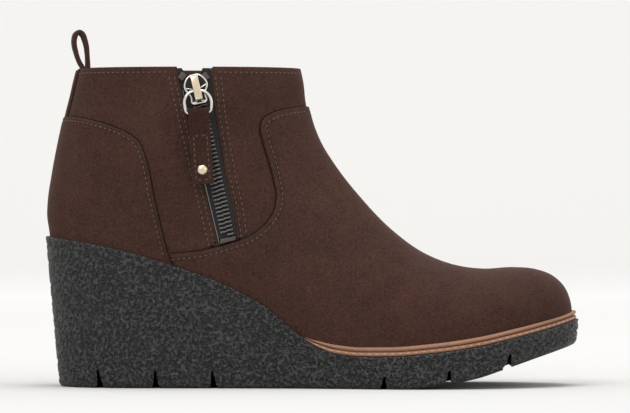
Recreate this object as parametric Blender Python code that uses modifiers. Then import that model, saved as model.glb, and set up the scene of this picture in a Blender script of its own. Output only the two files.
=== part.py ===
"""Wedge ankle boot with a side zip, a right boot seen from its outer side.

Metres, +Z up. The toe points to +X and the outer side, with the zip, to -Y.
The origin is the middle of the boot's length and width, on the floor.
Side outlines come from short tables: along is a share of the boot's length from the
heel, and the other columns are shares of the named sizes below.
"""

import math
from collections import namedtuple

import bmesh
import bpy
import numpy as np
from mathutils import Matrix, Vector

# Driving sizes of the whole boot
BOOT_LENGTH = 0.250
BALL_WIDTH = 0.0916
HEEL_HEIGHT = 0.0703
PLATFORM_HEIGHT = 0.0149
TOE_RISE = 0.0166
TOE_SPRING = 0.0202
COLLAR_HEIGHT = 0.1480
UPPER_WIDTH = 0.0636

# Thicknesses and clearances
WALL = 0.0020
OVERLAY = 0.0016
GAP = 0.0003
TUCK = 0.0030
HEEL_LEDGE = 0.0018
TOE_LEDGE = 0.0033

# Sole, welt and insole
HEEL_RAKE = 0.0062
TOE_UNDERCUT = 0.0010
HEEL_TAPER = 0.0030
SOLE_EDGE_RADIUS = 0.0022
SOLE_RIM_RADIUS = 0.0009
WELT_HEIGHT = 0.0045
WELT_LEDGE = 0.0013
WELT_START = 0.4745
WELT_FULL = 0.545
WELT_FIRST = 0.4855
INSOLE_RISE = 0.0022
INSOLE_INSET = 0.0010
INSOLE_EDGE = 0.0007
GROOVE_MOUTH = 0.0040
GROOVE_WEB = 0.0120

# Zip, slider, pull and loop
TAPE_THICKNESS = 0.0008
TAPE_SET_BACK = 0.0005
TAPE_SPREAD = 0.0050
CHAIN_WIDTH = 0.0064
TEETH_RISE = 0.0009
TOOTH_COUNT = 34
SLIDER_WIDTH = 0.0114
SLIDER_LENGTH = 0.0142
PLATE_THICKNESS = 0.0010
POST_WIDTH = 0.0018
BRIDGE_WIDTH = 0.0034
BRIDGE_RISE = 0.0034
BRIDGE_THICKNESS = 0.0010
STOP_OFFSET = 0.00525
STOP_WIDTH = 0.0028
STOP_LENGTH = 0.0032
STOP_THICKNESS = 0.0008
BAR_LENGTH = 0.0016
BAR_THICKNESS = 0.0010
HINGE_LIFT = 0.0036
RING_WIDTH = 0.0125
RING_DROP = 0.0100
RING_WIRE = 0.0007
TAB_WIDTH = 0.0098
TAB_THICKNESS = 0.0022
TAB_LENGTH = 0.0330
PATCH_THICKNESS = 0.0007
RIVET_RADIUS = 0.0022
RIVET_SHANK = 0.0010
RIVET_DOME = 0.0011
RIVET_BACK = 0.0005
LOOP_WIDTH = 0.0100
LOOP_HEIGHT = 0.0180
LOOP_REACH = 0.0053
LOOP_STRAP = 0.0019
LOOP_FOOT = 0.0080
BACK_STRIP_WIDTH = 0.0150
BACK_STRIP_THICKNESS = 0.0010

# Mesh fineness
SIDE_STEPS = 22
RISE_STEPS = 17
SOLE_STEPS = 46
WELT_STEPS = 32

# Plan outline of the sole: centre is + to the inner side, as shares of half the ball width
Plan = namedtuple("Plan", "along centre half_width")
PLAN = [
    Plan(0.00, 0.000, 0.720),
    Plan(0.16, 0.000, 0.720),
    Plan(0.30, -0.022, 0.705),
    Plan(0.42, -0.055, 0.695),
    Plan(0.52, -0.061, 0.765),
    Plan(0.62, -0.057, 0.900),
    Plan(0.70, -0.026, 0.985),
    Plan(0.76, 0.011, 1.000),
    Plan(0.84, 0.066, 0.965),
    Plan(0.92, 0.120, 0.880),
    Plan(1.00, 0.165, 0.780),
]
HEEL_ROUND = 0.17
TOE_ROUND = 0.21
ROUND_POWER = 2.2

# Top of the sole: the wedge falls from the heel to the platform, then rises to the toe
Rim = namedtuple("Rim", "along wedge toe")
RIM = [
    Rim(0.000, 1.000, 0.0),
    Rim(0.127, 0.901, 0.0),
    Rim(0.238, 0.760, 0.0),
    Rim(0.331, 0.609, 0.0),
    Rim(0.405, 0.435, 0.0),
    Rim(0.442, 0.307, 0.0),
    Rim(0.475, 0.182, 0.0),
    Rim(0.504, 0.087, 0.0),
    Rim(0.542, 0.022, 0.0),
    Rim(0.590, 0.000, 0.0),
    Rim(0.640, 0.000, 0.006),
    Rim(0.725, 0.000, 0.106),
    Rim(0.799, 0.000, 0.262),
    Rim(0.873, 0.000, 0.502),
    Rim(0.950, 0.000, 0.785),
    Rim(1.000, 0.000, 1.000),
]

# Underside of the sole: flat from the heel to the ball, then the toe spring
Tread = namedtuple("Tread", "along spring")
TREAD = [
    Tread(0.000, 0.000),
    Tread(0.665, 0.000),
    Tread(0.745, 0.105),
    Tread(0.800, 0.235),
    Tread(0.858, 0.460),
    Tread(0.920, 0.705),
    Tread(1.000, 1.000),
]

# Grooves across the sole: depth as a share of the platform height
Groove = namedtuple("Groove", "along depth lean")
GROOVES = [
    Groove(0.102, 0.56, 0.35),
    Groove(0.209, 0.56, 0.10),
    Groove(0.314, 0.54, 0.25),
    Groove(0.6315, 0.40, -0.10),
    Groove(0.7510, 0.44, -0.15),
    Groove(0.8640, 0.42, -0.35),
]

# Right half of a groove: out as a share of half its mouth, up as a share of its depth, and
# how much of its lean it has there
Notch = namedtuple("Notch", "out up lean")
NOTCH = [
    Notch(0.20, 1.00, 0.0),
    Notch(0.40, 0.45, 0.3),
    Notch(0.55, 0.20, 1.0),
    Notch(1.00, 0.04, 1.0),
]

# Edge of the sole's underside as a quarter round, and the levels of its wall
EDGE_ROUND = [(0.0, 1.0), (0.3, 0.29), (1.0, 0.0)]
WALL_LEVELS = (0.33, 0.66)

# Section of the welt: flange below, bead above, inward and up as shares
Section = namedtuple("Section", "inward up")
WELT_SECTION = [
    Section(1.00, 0.00),
    Section(0.16, 0.00),
    Section(0.03, 0.10),
    Section(0.00, 0.36),
    Section(0.09, 0.45),
    Section(0.24, 0.50),
    Section(0.08, 0.56),
    Section(0.02, 0.72),
    Section(0.10, 0.90),
    Section(0.32, 1.00),
    Section(1.00, 1.00),
]

# Side outline of the upper without its overlays. rise is a share of the height from the
# featherline, at the toe or at the heel, up to the collar
Side = namedtuple("Side", "along rise")
RIDGE = [
    Side(0.9800, 0.0000),
    Side(0.9772, 0.0454),
    Side(0.9680, 0.0927),
    Side(0.9465, 0.1381),
    Side(0.9170, 0.1623),
    Side(0.8735, 0.1704),
    Side(0.8200, 0.1643),
    Side(0.7668, 0.1794),
    Side(0.7052, 0.2308),
    Side(0.6440, 0.3276),
    Side(0.5840, 0.4647),
    Side(0.5380, 0.5937),
    Side(0.5085, 0.6996),
    Side(0.4925, 0.7933),
    Side(0.4855, 0.8770),
    Side(0.4825, 0.9425),
    Side(0.4770, 1.0000),
]
BACK = [
    Side(0.0136, 0.0000),
    Side(0.0085, 0.1382),
    Side(0.0095, 0.2079),
    Side(0.0170, 0.3733),
    Side(0.0280, 0.5600),
    Side(0.0385, 0.7113),
    Side(0.0488, 0.8425),
    Side(0.0552, 0.9323),
    Side(0.0608, 1.0000),
]

# Sections of the last fan out from the front of the ankle. under runs from the toe (0)
# along the featherline to the heel (1) and up the back to the collar (2), over is the
# share of the ridge's length, half_width a share of half the upper's width, and widest
# says how far up the section its widest place is
Fan = namedtuple("Fan", "under over half_width widest power")
FAN = [
    Fan(0.00, 0.000, 1.13, 0.24, 2.3),
    Fan(0.02, 0.066, 1.15, 0.24, 2.3),
    Fan(0.06, 0.133, 1.18, 0.24, 2.3),
    Fan(0.12, 0.212, 1.25, 0.24, 2.25),
    Fan(0.20, 0.323, 1.295, 0.24, 2.15),
    Fan(0.30, 0.450, 1.290, 0.24, 2.0),
    Fan(0.40, 0.551, 1.160, 0.25, 1.9),
    Fan(0.50, 0.640, 1.030, 0.28, 1.85),
    Fan(0.62, 0.723, 0.970, 0.34, 1.85),
    Fan(0.75, 0.800, 0.975, 0.40, 1.9),
    Fan(0.88, 0.864, 0.990, 0.45, 1.95),
    Fan(1.00, 0.914, 0.995, 0.50, 2.0),
    Fan(1.25, 0.936, 1.000, 0.50, 2.0),
    Fan(1.50, 0.958, 0.995, 0.50, 2.05),
    Fan(1.75, 0.980, 0.965, 0.50, 2.1),
    Fan(2.00, 1.000, 0.935, 0.50, 2.1),
]
HEEL_POWER = 2.2

# Edges of the overlays in the side view, height as a share of the collar height
Edge = namedtuple("Edge", "along height")
VAMP_EDGE = [
    Edge(0.5444, 0.9120),
    Edge(0.4981, 0.8870),
    Edge(0.4607, 0.8760),
    Edge(0.4233, 0.8590),
    Edge(0.4070, 0.8400),
    Edge(0.4024, 0.8150),
    Edge(0.4063, 0.7750),
    Edge(0.4178, 0.7110),
    Edge(0.4277, 0.6480),
    Edge(0.4329, 0.6010),
    Edge(0.4311, 0.5700),
    Edge(0.4209, 0.5300),
    Edge(0.4045, 0.4990),
    Edge(0.3789, 0.4710),
    Edge(0.3455, 0.4520),
    Edge(0.3011, 0.4320),
    Edge(0.2365, 0.4190),
]
VAMP_TAIL = [Edge(0.2440, 0.384), Edge(0.2578, 0.320)]
COUNTER_EDGE = [
    Edge(-0.0200, 0.8530),
    Edge(0.0363, 0.8500),
    Edge(0.0707, 0.8450),
    Edge(0.1003, 0.8330),
    Edge(0.1308, 0.8170),
    Edge(0.1564, 0.7980),
    Edge(0.1771, 0.7720),
    Edge(0.1899, 0.7290),
    Edge(0.1987, 0.6730),
    Edge(0.2046, 0.6170),
    Edge(0.2106, 0.5700),
    Edge(0.2194, 0.5080),
    Edge(0.2302, 0.4330),
    Edge(0.2401, 0.3840),
    Edge(0.2539, 0.3200),
]

# The zip's opening: its two edges and the line of its teeth
Zip = namedtuple("Zip", "height back teeth front")
ZIP = [
    Zip(1.030, 0.2425, 0.2731, 0.3102),
    Zip(0.933, 0.2560, 0.2854, 0.3169),
    Zip(0.862, 0.2660, 0.2944, 0.3212),
    Zip(0.763, 0.2800, 0.3069, 0.3307),
    Zip(0.654, 0.2952, 0.3206, 0.3417),
    Zip(0.564, 0.3079, 0.3320, 0.3539),
    Zip(0.440, 0.3255, 0.3476, 0.3650),
]
ZIP_BOTTOM = 0.440
ZIP_SPLIT = 0.944
SLIDER_HEIGHT = 0.925
CHAIN_TOP = 0.905
CHAIN_BOTTOM = 0.478
TAPE_BOTTOM = 0.462
STOP_HEIGHT = 0.972
BAR_HEIGHT = 0.470
PULL_END_ALONG = 0.2978
PULL_END_HEIGHT = 0.6370
PULL_END_LIFT = 0.0042

# Side of a tooth: share of the pitch below its top, and rise over the tape
TOOTH = [(0.0, 1.0), (0.55, 1.0), (0.62, 0.35), (0.93, 0.35)]

# Right half of the slider's plate from above, as shares of half its width and of its length
Shield = namedtuple("Shield", "across up")
SHIELD = [
    Shield(0.30, 0.57),
    Shield(0.62, 0.50),
    Shield(0.88, 0.36),
    Shield(1.00, 0.20),
    Shield(0.92, 0.08),
    Shield(0.70, -0.06),
    Shield(0.62, -0.20),
    Shield(0.64, -0.38),
    Shield(0.50, -0.43),
]
BRIDGE_HEAD = 0.50
BRIDGE_FOOT = -0.31
POST_UP = 0.40

# Right half of the pull's ring, down from the hinge, as shares of half its width and its drop
Wire = namedtuple("Wire", "across down")
RING = [
    Wire(0.00, 0.000),
    Wire(0.26, 0.006),
    Wire(0.52, 0.050),
    Wire(0.76, 0.160),
    Wire(0.93, 0.330),
    Wire(1.00, 0.520),
    Wire(0.99, 0.700),
    Wire(0.95, 0.850),
    Wire(0.89, 0.950),
    Wire(0.80, 1.000),
    Wire(0.40, 1.000),
    Wire(0.00, 1.000),
]
PATCH_START = 0.30
RIVET_DOWN = 0.805

# Middle of the loop's strap: back as a share of its reach, rise of its height
Bend = namedtuple("Bend", "back rise")
LOOP = [
    Bend(-0.22, 0.12),
    Bend(-0.17, 0.38),
    Bend(-0.09, 0.60),
    Bend(0.08, 0.79),
    Bend(0.28, 0.92),
    Bend(0.57, 0.97),
    Bend(0.83, 0.92),
    Bend(0.98, 0.79),
    Bend(0.98, 0.64),
    Bend(0.81, 0.45),
    Bend(0.57, 0.28),
    Bend(0.25, 0.15),
    Bend(-0.08, 0.07),
]
LOOP_FORK = 0.21

STYLES = {
    "suede": ((0.062, 0.037, 0.029), 0.9, 0.0),
    "crepe rubber": ((0.055, 0.060, 0.058), 0.75, 0.0),
    "tan welt": ((0.42, 0.23, 0.13), 0.6, 0.0),
    "lining": ((0.10, 0.085, 0.075), 0.9, 0.0),
    "zip tape": ((0.018, 0.018, 0.018), 0.85, 0.0),
    "dark metal": ((0.05, 0.05, 0.05), 0.4, 0.8),
    "pale gold": ((0.80, 0.68, 0.47), 0.25, 1.0),
}

SOLE_REACH = BOOT_LENGTH / 2
HALF_BALL = BALL_WIDTH / 2
PARTS = bpy.data.collections.new("Wedge ankle boot")
CUTTERS = bpy.data.collections.new("Cutters")


def start_scene():
    """Empties the file and makes the two collections and the materials."""
    for obj in list(bpy.data.objects):
        bpy.data.objects.remove(obj)
    for collection in (PARTS, CUTTERS):
        bpy.context.scene.collection.children.link(collection)
    for name, (colour, roughness, metallic) in STYLES.items():
        material = bpy.data.materials.new(name)
        material.use_nodes = True
        shader = material.node_tree.nodes["Principled BSDF"]
        shader.inputs["Base Color"].default_value = (*colour, 1.0)
        shader.inputs["Roughness"].default_value = roughness
        shader.inputs["Metallic"].default_value = metallic


def hermite(knots, values, slopes, at):
    """Cubic curve through the knots, with the given slopes."""
    knots, values, slopes = (np.asarray(a, float) for a in (knots, values, slopes))
    at = np.clip(at, knots[0], knots[-1])
    i = np.clip(np.searchsorted(knots, at, "right") - 1, 0, len(knots) - 2)
    step = knots[i + 1] - knots[i]
    t = (at - knots[i]) / step
    bend = values[i + 1] - values[i]
    start, end = slopes[i] * step, slopes[i + 1] * step
    return values[i] + t * (start + t * ((3 * bend - 2 * start - end) + t * (start + end - 2 * bend)))


def smooth(rows, column, at):
    """A table's column at a share of its first column, without overshoot."""
    knots = np.array([row[0] for row in rows], float)
    values = np.array([getattr(row, column) for row in rows], float)
    rates = np.diff(values) / np.diff(knots)
    slopes = np.concatenate([rates[:1], np.zeros(len(rates) - 1), rates[-1:]])
    same = rates[:-1] * rates[1:] > 0
    middle = 2 * rates[:-1] * rates[1:] / np.where(same, rates[:-1] + rates[1:], 1.0)
    slopes[1:-1] = np.where(same, middle, 0.0)
    return hermite(knots, values, slopes, np.asarray(at, float))


def x_at(along):
    return (np.asarray(along, float) - 0.5) * BOOT_LENGTH


class Path:
    """A smooth side-view line through points, measured by its length."""

    def __init__(self, points, fine=400):
        points = np.asarray(points, float)
        chord = np.concatenate([[0], np.cumsum(np.hypot(*np.diff(points, axis=0).T))])
        at = np.linspace(0, chord[-1], fine)
        lines = [hermite(chord, column, np.gradient(column, chord), at) for column in points.T]
        self.points = np.column_stack(lines)
        steps = np.hypot(*np.diff(self.points, axis=0).T)
        self.share = np.concatenate([[0], np.cumsum(steps)]) / steps.sum()

    def at(self, share):
        return [np.interp(share, self.share, column) for column in self.points.T]


def round_end(reach, length):
    """Half-width share at a distance from a rounded end, 1 past its length."""
    left = np.clip(1 - np.asarray(reach, float) / length, 0, 1)
    return (1 - left**ROUND_POWER) ** (1 / ROUND_POWER)


def plan_centre(along):
    return smooth(PLAN, "centre", along) * HALF_BALL


def plan_half(along):
    """Half-width of the sole's outline, closed at heel and toe."""
    ends = round_end(along, HEEL_ROUND) * round_end(1 - np.asarray(along, float), TOE_ROUND)
    return smooth(PLAN, "half_width", along) * HALF_BALL * ends


def width_shift():
    """Middle of the sole's width, which the origin sits over."""
    along = np.linspace(0, 1, 400)
    low = (plan_centre(along) - plan_half(along)).min()
    high = (plan_centre(along) + plan_half(along)).max()
    return (low + high) / 2


Y_SHIFT = width_shift()


def sole_top(along):
    fall = smooth(RIM, "wedge", along) * (HEEL_HEIGHT - PLATFORM_HEIGHT)
    return PLATFORM_HEIGHT + fall + smooth(RIM, "toe", along) * TOE_RISE


def sole_bottom(along):
    return smooth(TREAD, "spring", along) * TOE_SPRING


def welt_rise(along):
    """Height of the welt over the sole: nothing at the waist, full past it."""
    t = np.clip((np.asarray(along, float) - WELT_START) / (WELT_FULL - WELT_START), 0, 1)
    return WELT_HEIGHT * t * (2 - t)


def feather(along):
    """Height at which the upper meets the sole or the welt."""
    return sole_top(along) + welt_rise(along)


# Side outlines of the upper's form, a little longer at the bottom so that they can be trimmed
TOE_ALONG = 1 - (TOE_LEDGE + OVERLAY) / BOOT_LENGTH
HEEL_ALONG = (HEEL_LEDGE + OVERLAY) / BOOT_LENGTH


def side_line(rows, foot_along):
    """Points of a side outline whose foot is on the featherline."""
    base = float(feather(foot_along))
    first = rows[0].along
    points = [(x_at(foot_along), base - TUCK)]
    for row in rows:
        points.append((x_at(foot_along + row.along - first), base + row.rise * (COLLAR_HEIGHT - base)))
    return Path(points)


RIDGE_LINE = side_line(RIDGE, TOE_ALONG)
BACK_LINE = side_line(BACK, HEEL_ALONG)


def foot_outline(along):
    """Half-width of the upper at the featherline, inside the sole's ledge."""
    share = (along - HEEL_ALONG) / (TOE_ALONG - HEEL_ALONG)
    ledge = HEEL_LEDGE + (TOE_LEDGE - HEEL_LEDGE) * np.clip((along - WELT_START) / 0.1, 0, 1)
    body = smooth(PLAN, "half_width", share) * HALF_BALL
    return plan_half(np.clip(share, 0, 1)) * (1 - (ledge + OVERLAY) / body)


def fan_line(under):
    """Lower and upper end of the last's section, in the side view."""
    under = np.asarray(under, float)
    along = TOE_ALONG + (HEEL_ALONG - TOE_ALONG) * np.clip(under, 0, 1)
    back_x, back_z = BACK_LINE.at(np.clip(under - 1, 0, 1))
    low_x = np.where(under < 1, x_at(along), back_x)
    low_z = np.where(under < 1, feather(along) - TUCK, back_z)
    high_x, high_z = RIDGE_LINE.at(smooth(FAN, "over", under))
    return along, low_x, low_z, high_x, high_z


def half_width(x, z):
    """Centre line and half-width of the last's form at a place in the side view."""
    low, high = np.zeros_like(x), np.full_like(x, 2.0)
    for _ in range(40):
        middle = (low + high) / 2
        _, ax, az, bx, bz = fan_line(middle)
        ahead = (bx - ax) * (z - az) - (bz - az) * (x - ax) < 0
        low, high = np.where(ahead, low, middle), np.where(ahead, middle, high)
    under = (low + high) / 2
    along, ax, az, bx, bz = fan_line(under)
    length = np.maximum((bx - ax) ** 2 + (bz - az) ** 2, 1e-12)
    up = ((x - ax) * (bx - ax) + (z - az) * (bz - az)) / length
    share = np.clip((along - HEEL_ALONG) / (TOE_ALONG - HEEL_ALONG), 0, 1)
    body = smooth(FAN, "half_width", under) * UPPER_WIDTH / 2 * round_end(1 - share, TOE_ROUND)
    foot = np.where(under < 1, foot_outline(along), 0.0)
    widest = smooth(FAN, "widest", under)
    power = smooth(FAN, "power", under)
    over = np.clip((up - widest) / (1 - widest), 0, 1)
    below = np.clip((widest - up) / widest, 0, 1)
    tuck = 1 - np.clip(foot / np.maximum(body, 1e-9), 0, 1) ** HEEL_POWER
    shape = np.where(
        up > widest,
        (1 - over**power) ** (1 / power),
        (1 - tuck * below**HEEL_POWER) ** (1 / HEEL_POWER),
    )
    return plan_centre(share) * np.clip(1.6 - under, 0, 1), body * shape


def side_grid():
    """Places in the side view, rows up from the featherline and columns from back to front."""
    across = (1 - np.cos(np.linspace(0, math.pi, SIDE_STEPS + 1))) / 2
    rise = np.linspace(0, 1, RISE_STEPS + 1)[:, None] ** 1.5
    along = HEEL_ALONG + (TOE_ALONG - HEEL_ALONG) * across
    bottom = np.stack([x_at(along), feather(along) - TUCK])[:, None, :]
    back = np.stack(BACK_LINE.at(rise))
    front = np.stack(RIDGE_LINE.at(rise))
    top = back[:, -1:] + (front[:, -1:] - back[:, -1:]) * across
    sides = (1 - across) * back + across * front
    ends = (1 - rise) * bottom + rise * top
    corners = (1 - rise) * ((1 - across) * back[:, :1] + across * front[:, :1])
    corners = corners + rise * ((1 - across) * back[:, -1:] + across * front[:, -1:])
    return sides + ends - corners


def form_points():
    """The last's form as closed rings, and the outward direction at each point."""
    x, z = side_grid()
    centre, half = half_width(x, z)
    half[:, 0] = half[:, -1] = 0
    outer = np.stack([x, centre - half - Y_SHIFT, z], axis=-1)
    inner = np.stack([x, centre + half - Y_SHIFT, z], axis=-1)
    rings = np.concatenate([outer, inner[:, -2:0:-1]], axis=1)
    around = np.roll(rings, -1, axis=1) - np.roll(rings, 1, axis=1)
    upward = np.gradient(rings, axis=0)
    normal = np.cross(around, upward)
    return rings, normal / np.linalg.norm(normal, axis=-1, keepdims=True)


RINGS, OUTWARD = form_points()


def skin(along, height, lift=0.0):
    """Point over the outer side of the upper and the outward direction there."""
    x, z = float(x_at(along)), height * COLLAR_HEIGHT
    step = 0.001
    xs = np.array([x, x - step, x + step, x, x])
    zs = np.array([z, z, z, z - step, z + step])
    centre, half = half_width(xs, zs)
    y = centre - half - Y_SHIFT
    slope_x, slope_z = (y[2] - y[1]) / (2 * step), (y[4] - y[3]) / (2 * step)
    normal = Vector((slope_x, -1.0, slope_z)).normalized()
    return Vector((x, y[0], z)) + normal * lift, normal


def add_object(name, mesh, style=None):
    """Puts a mesh in the boot's collection, or among the cutters if it has no style."""
    obj = bpy.data.objects.new(name, mesh)
    if style:
        mesh.materials.clear()
        mesh.materials.append(bpy.data.materials[style])
        PARTS.objects.link(obj)
    else:
        obj.hide_render = True
        obj.display_type = "WIRE"
        CUTTERS.objects.link(obj)
    return obj


def mesh_from(name, points, faces):
    mesh = bpy.data.meshes.new(name)
    mesh.from_pydata([tuple(map(float, p)) for p in points], [], faces)
    mesh.update()
    return mesh


def grid_faces(rows, columns, start=0, closed=True, flip=False):
    """Quads over a grid of points stored row by row."""
    faces = []
    for i in range(rows - 1):
        for j in range(columns if closed else columns - 1):
            k = (j + 1) % columns
            a, b = start + i * columns, start + (i + 1) * columns
            face = (a + j, a + k, b + k, b + j)
            faces.append(face[::-1] if flip else face)
    return faces


def form_shell(name, low, high, style=None, reach=0.0):
    """Closed wall between two lifts off the last's form, its ends longer by a share of a row."""
    inner, outer = RINGS + OUTWARD * low, RINGS + OUTWARD * high
    for rings in (inner, outer):
        rings[0] -= (rings[1] - rings[0]) * reach
        rings[-1] += (rings[-1] - rings[-2]) * reach
    rows, columns = RINGS.shape[:2]
    points = np.concatenate([outer.reshape(-1, 3), inner.reshape(-1, 3)])
    half = rows * columns
    faces = grid_faces(rows, columns)
    faces += grid_faces(rows, columns, start=half, flip=True)
    last = (rows - 1) * columns
    for j in range(columns):
        k = (j + 1) % columns
        faces.append((k, j, half + j, half + k))
        faces.append((last + j, last + k, half + last + k, half + last + j))
    flat = [tri for a, b, c, d in faces for tri in ((a, b, c), (a, c, d))]
    return add_object(name, mesh_from(name, points, flat), style)


def side_prism(name, outline, low_y, high_y):
    """Cutter: a side-view outline, pulled through from one Y to the other."""
    mesh = bpy.data.meshes.new(name)
    shape = bmesh.new()
    base = [shape.verts.new((x, low_y, z)) for x, z in outline]
    face = shape.faces.new(base)
    pulled = bmesh.ops.extrude_face_region(shape, geom=[face])
    moved = [item for item in pulled["geom"] if isinstance(item, bmesh.types.BMVert)]
    bmesh.ops.translate(shape, vec=(0, high_y - low_y, 0), verts=moved)
    bmesh.ops.recalc_face_normals(shape, faces=shape.faces)
    shape.to_mesh(mesh)
    shape.free()
    return add_object(name, mesh)


def combine(obj, other, operation):
    modifier = obj.modifiers.new(operation.title(), "BOOLEAN")
    modifier.operation = operation
    modifier.object = other
    modifier.solver = "EXACT"
    return obj


def settle(obj):
    """Makes a modified object or a curve a plain mesh, with its shape in place."""
    graph = bpy.context.evaluated_depsgraph_get()
    mesh = bpy.data.meshes.new_from_object(obj.evaluated_get(graph))
    mesh.transform(obj.matrix_world)
    shape = bmesh.new()
    shape.from_mesh(mesh)
    bmesh.ops.remove_doubles(shape, verts=shape.verts, dist=1e-6)
    shape.to_mesh(mesh)
    shape.free()
    name = obj.name
    style = obj.data.materials[0].name if obj.data.materials else None
    bpy.data.objects.remove(obj)
    return add_object(name, mesh, style)


def side_points(rows):
    return [(float(x_at(row.along)), row.height * COLLAR_HEIGHT) for row in rows]


def side_curve(rows, count):
    return [tuple(p) for p in np.column_stack(Path(side_points(rows)).at(np.linspace(0, 1, count)))]


SIDE_REACH = BALL_WIDTH
BELOW = -0.02


def under_feather():
    """Cutter: all that lies below the featherline."""
    along = np.linspace(-0.02, 1.02, 53)
    line = list(zip(x_at(along), feather(np.clip(along, 0, 1)) + GAP))
    outline = [*line, (line[-1][0], BELOW), (line[0][0], BELOW)]
    return side_prism("below_the_featherline", outline, -SIDE_REACH, SIDE_REACH)


def make_upper():
    """Hollow shaft and vamp: one wall, cut back between the vamp and the counter."""
    upper = form_shell("upper", -WALL, OVERLAY, "suede")
    far, over = SOLE_REACH * 1.2, COLLAR_HEIGHT * 1.2
    vamp, counter = side_curve(VAMP_EDGE, 40), side_curve(COUNTER_EDGE, 34)
    outline = [*vamp, *side_points(VAMP_TAIL), *counter[::-1]]
    outline += [(-far, counter[0][1]), (-far, over), (far, over), (far, vamp[0][1])]
    quarter = form_shell("quarter_form", 0.0, 2 * OVERLAY, reach=0.3)
    combine(quarter, side_prism("quarter_outline", outline, -SIDE_REACH, SIDE_REACH), "INTERSECT")
    combine(upper, quarter, "DIFFERENCE")
    combine(upper, zip_opening("zip_cut", 0.0, 0.0), "DIFFERENCE")
    combine(upper, under_feather(), "DIFFERENCE")
    return upper


def zip_edge(column, inset, heights):
    return [(float(x_at(smooth(ZIP[::-1], column, h))) + inset, h * COLLAR_HEIGHT) for h in heights]


def zip_opening(name, inset, lift_bottom):
    """Cutter on the outer side: the zip's slot in the upper."""
    heights = np.linspace(ZIP_BOTTOM + lift_bottom, ZIP[0].height, 9)
    back = zip_edge("back", inset, heights)
    front = zip_edge("front", -inset, heights)
    return side_prism(name, [*back, *front[::-1]], -SIDE_REACH, -Y_SHIFT - UPPER_WIDTH / 8)


def make_zip():
    """Two tapes set back in the slot, and the closed chain of teeth over them."""
    heights = [*np.linspace(1.0, ZIP_SPLIT, 4), *np.linspace(ZIP_SPLIT, TAPE_BOTTOM, 6)[1:]]
    part = np.interp(heights, [ZIP_SPLIT, 1.0], [GAP / 2, TAPE_SPREAD])
    teeth = [float(x_at(smooth(ZIP[::-1], "teeth", h))) for h in heights]
    for name, column, side in (("zip_tape_back", "back", -1), ("zip_tape_front", "front", 1)):
        outside = zip_edge(column, -side * 1.5 * GAP, heights)
        inside = [(t + side * p, z) for t, p, (_, z) in zip(teeth, part, outside)]
        tape = form_shell(name, -TAPE_SET_BACK - TAPE_THICKNESS, -TAPE_SET_BACK, "zip tape")
        outline = side_prism(name + "_outline", [*outside, *inside[::-1]], -SIDE_REACH, -Y_SHIFT)
        combine(tape, outline, "INTERSECT")
    make_teeth()


def make_teeth():
    """The closed chain: a raised row for each pair of teeth."""
    points = []
    pitch = (CHAIN_TOP - CHAIN_BOTTOM) / TOOTH_COUNT
    base = -TAPE_SET_BACK + GAP
    for n in range(TOOTH_COUNT):
        for share, rise in TOOTH:
            height = CHAIN_TOP - (n + share) * pitch
            along = float(smooth(ZIP[::-1], "teeth", height))
            for side, low in ((-1, 0), (1, 0), (1, 1), (-1, 1)):
                lift = base if low else base + (TEETH_RISE - base) * rise
                offset = side * CHAIN_WIDTH / 2 / BOOT_LENGTH
                points.append(skin(along + offset, height, lift)[0])
    rows = len(points) // 4
    faces = grid_faces(rows, 4)
    faces += [(3, 2, 1, 0), tuple(range(4 * rows - 4, 4 * rows))]
    mesh = mesh_from("zip_teeth", points, faces)
    shape = bmesh.new()
    shape.from_mesh(mesh)
    bmesh.ops.recalc_face_normals(shape, faces=shape.faces)
    shape.to_mesh(mesh)
    shape.free()
    add_object("zip_teeth", mesh, "dark metal")


def hinge_frame():
    """Place of the pull's hinge, and the slider's across, up and outward directions."""
    along = float(smooth(ZIP[::-1], "teeth", SLIDER_HEIGHT))
    origin, out = skin(along, SLIDER_HEIGHT, HINGE_LIFT)
    lower = skin(float(smooth(ZIP[::-1], "teeth", 0.8)), 0.8, HINGE_LIFT)[0]
    up = (origin - lower).normalized()
    up = (up - out * up.dot(out)).normalized()
    return origin, up.cross(out), up, out


def frame_matrix(origin, across, up, out):
    """Local axes: X across the zip, Y up it and Z away from the boot."""
    matrix = Matrix((across, up, out)).transposed().to_4x4()
    matrix.translation = origin
    return matrix


# Turns a flat piece so that its outline is in local Y and Z, and its thickness along X
SIDEWAYS = Matrix(((0, 0, 1, 0), (1, 0, 0, 0), (0, 1, 0, 0), (0, 0, 0, 1)))


def flat_piece(name, outline, low, high, matrix, style=None, holes=()):
    """A flat outline in local X and Y, thick from low to high along local Z."""
    curve = bpy.data.curves.new(name, "CURVE")
    curve.dimensions = "2D"
    curve.fill_mode = "BOTH"
    curve.extrude = (high - low) / 2
    for points in (outline, *holes):
        spline = curve.splines.new("POLY")
        spline.points.add(len(points) - 1)
        for point, (x, y) in zip(spline.points, points):
            point.co = (x, y, 0, 1)
        spline.use_cyclic_u = True
    obj = add_object(name, curve, style)
    obj.matrix_world = matrix @ Matrix.Translation((0, 0, (high + low) / 2))
    bpy.context.view_layer.update()
    return settle(obj)


def slider_outline(scale):
    """Shield shape: round top, wide shoulders, narrow waist."""
    half, length = SLIDER_WIDTH / 2 * scale, SLIDER_LENGTH
    points = [(half * row.across, length * row.up) for row in SHIELD]
    return [*points, *[(-x, y) for x, y in points[::-1]]]


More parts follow.
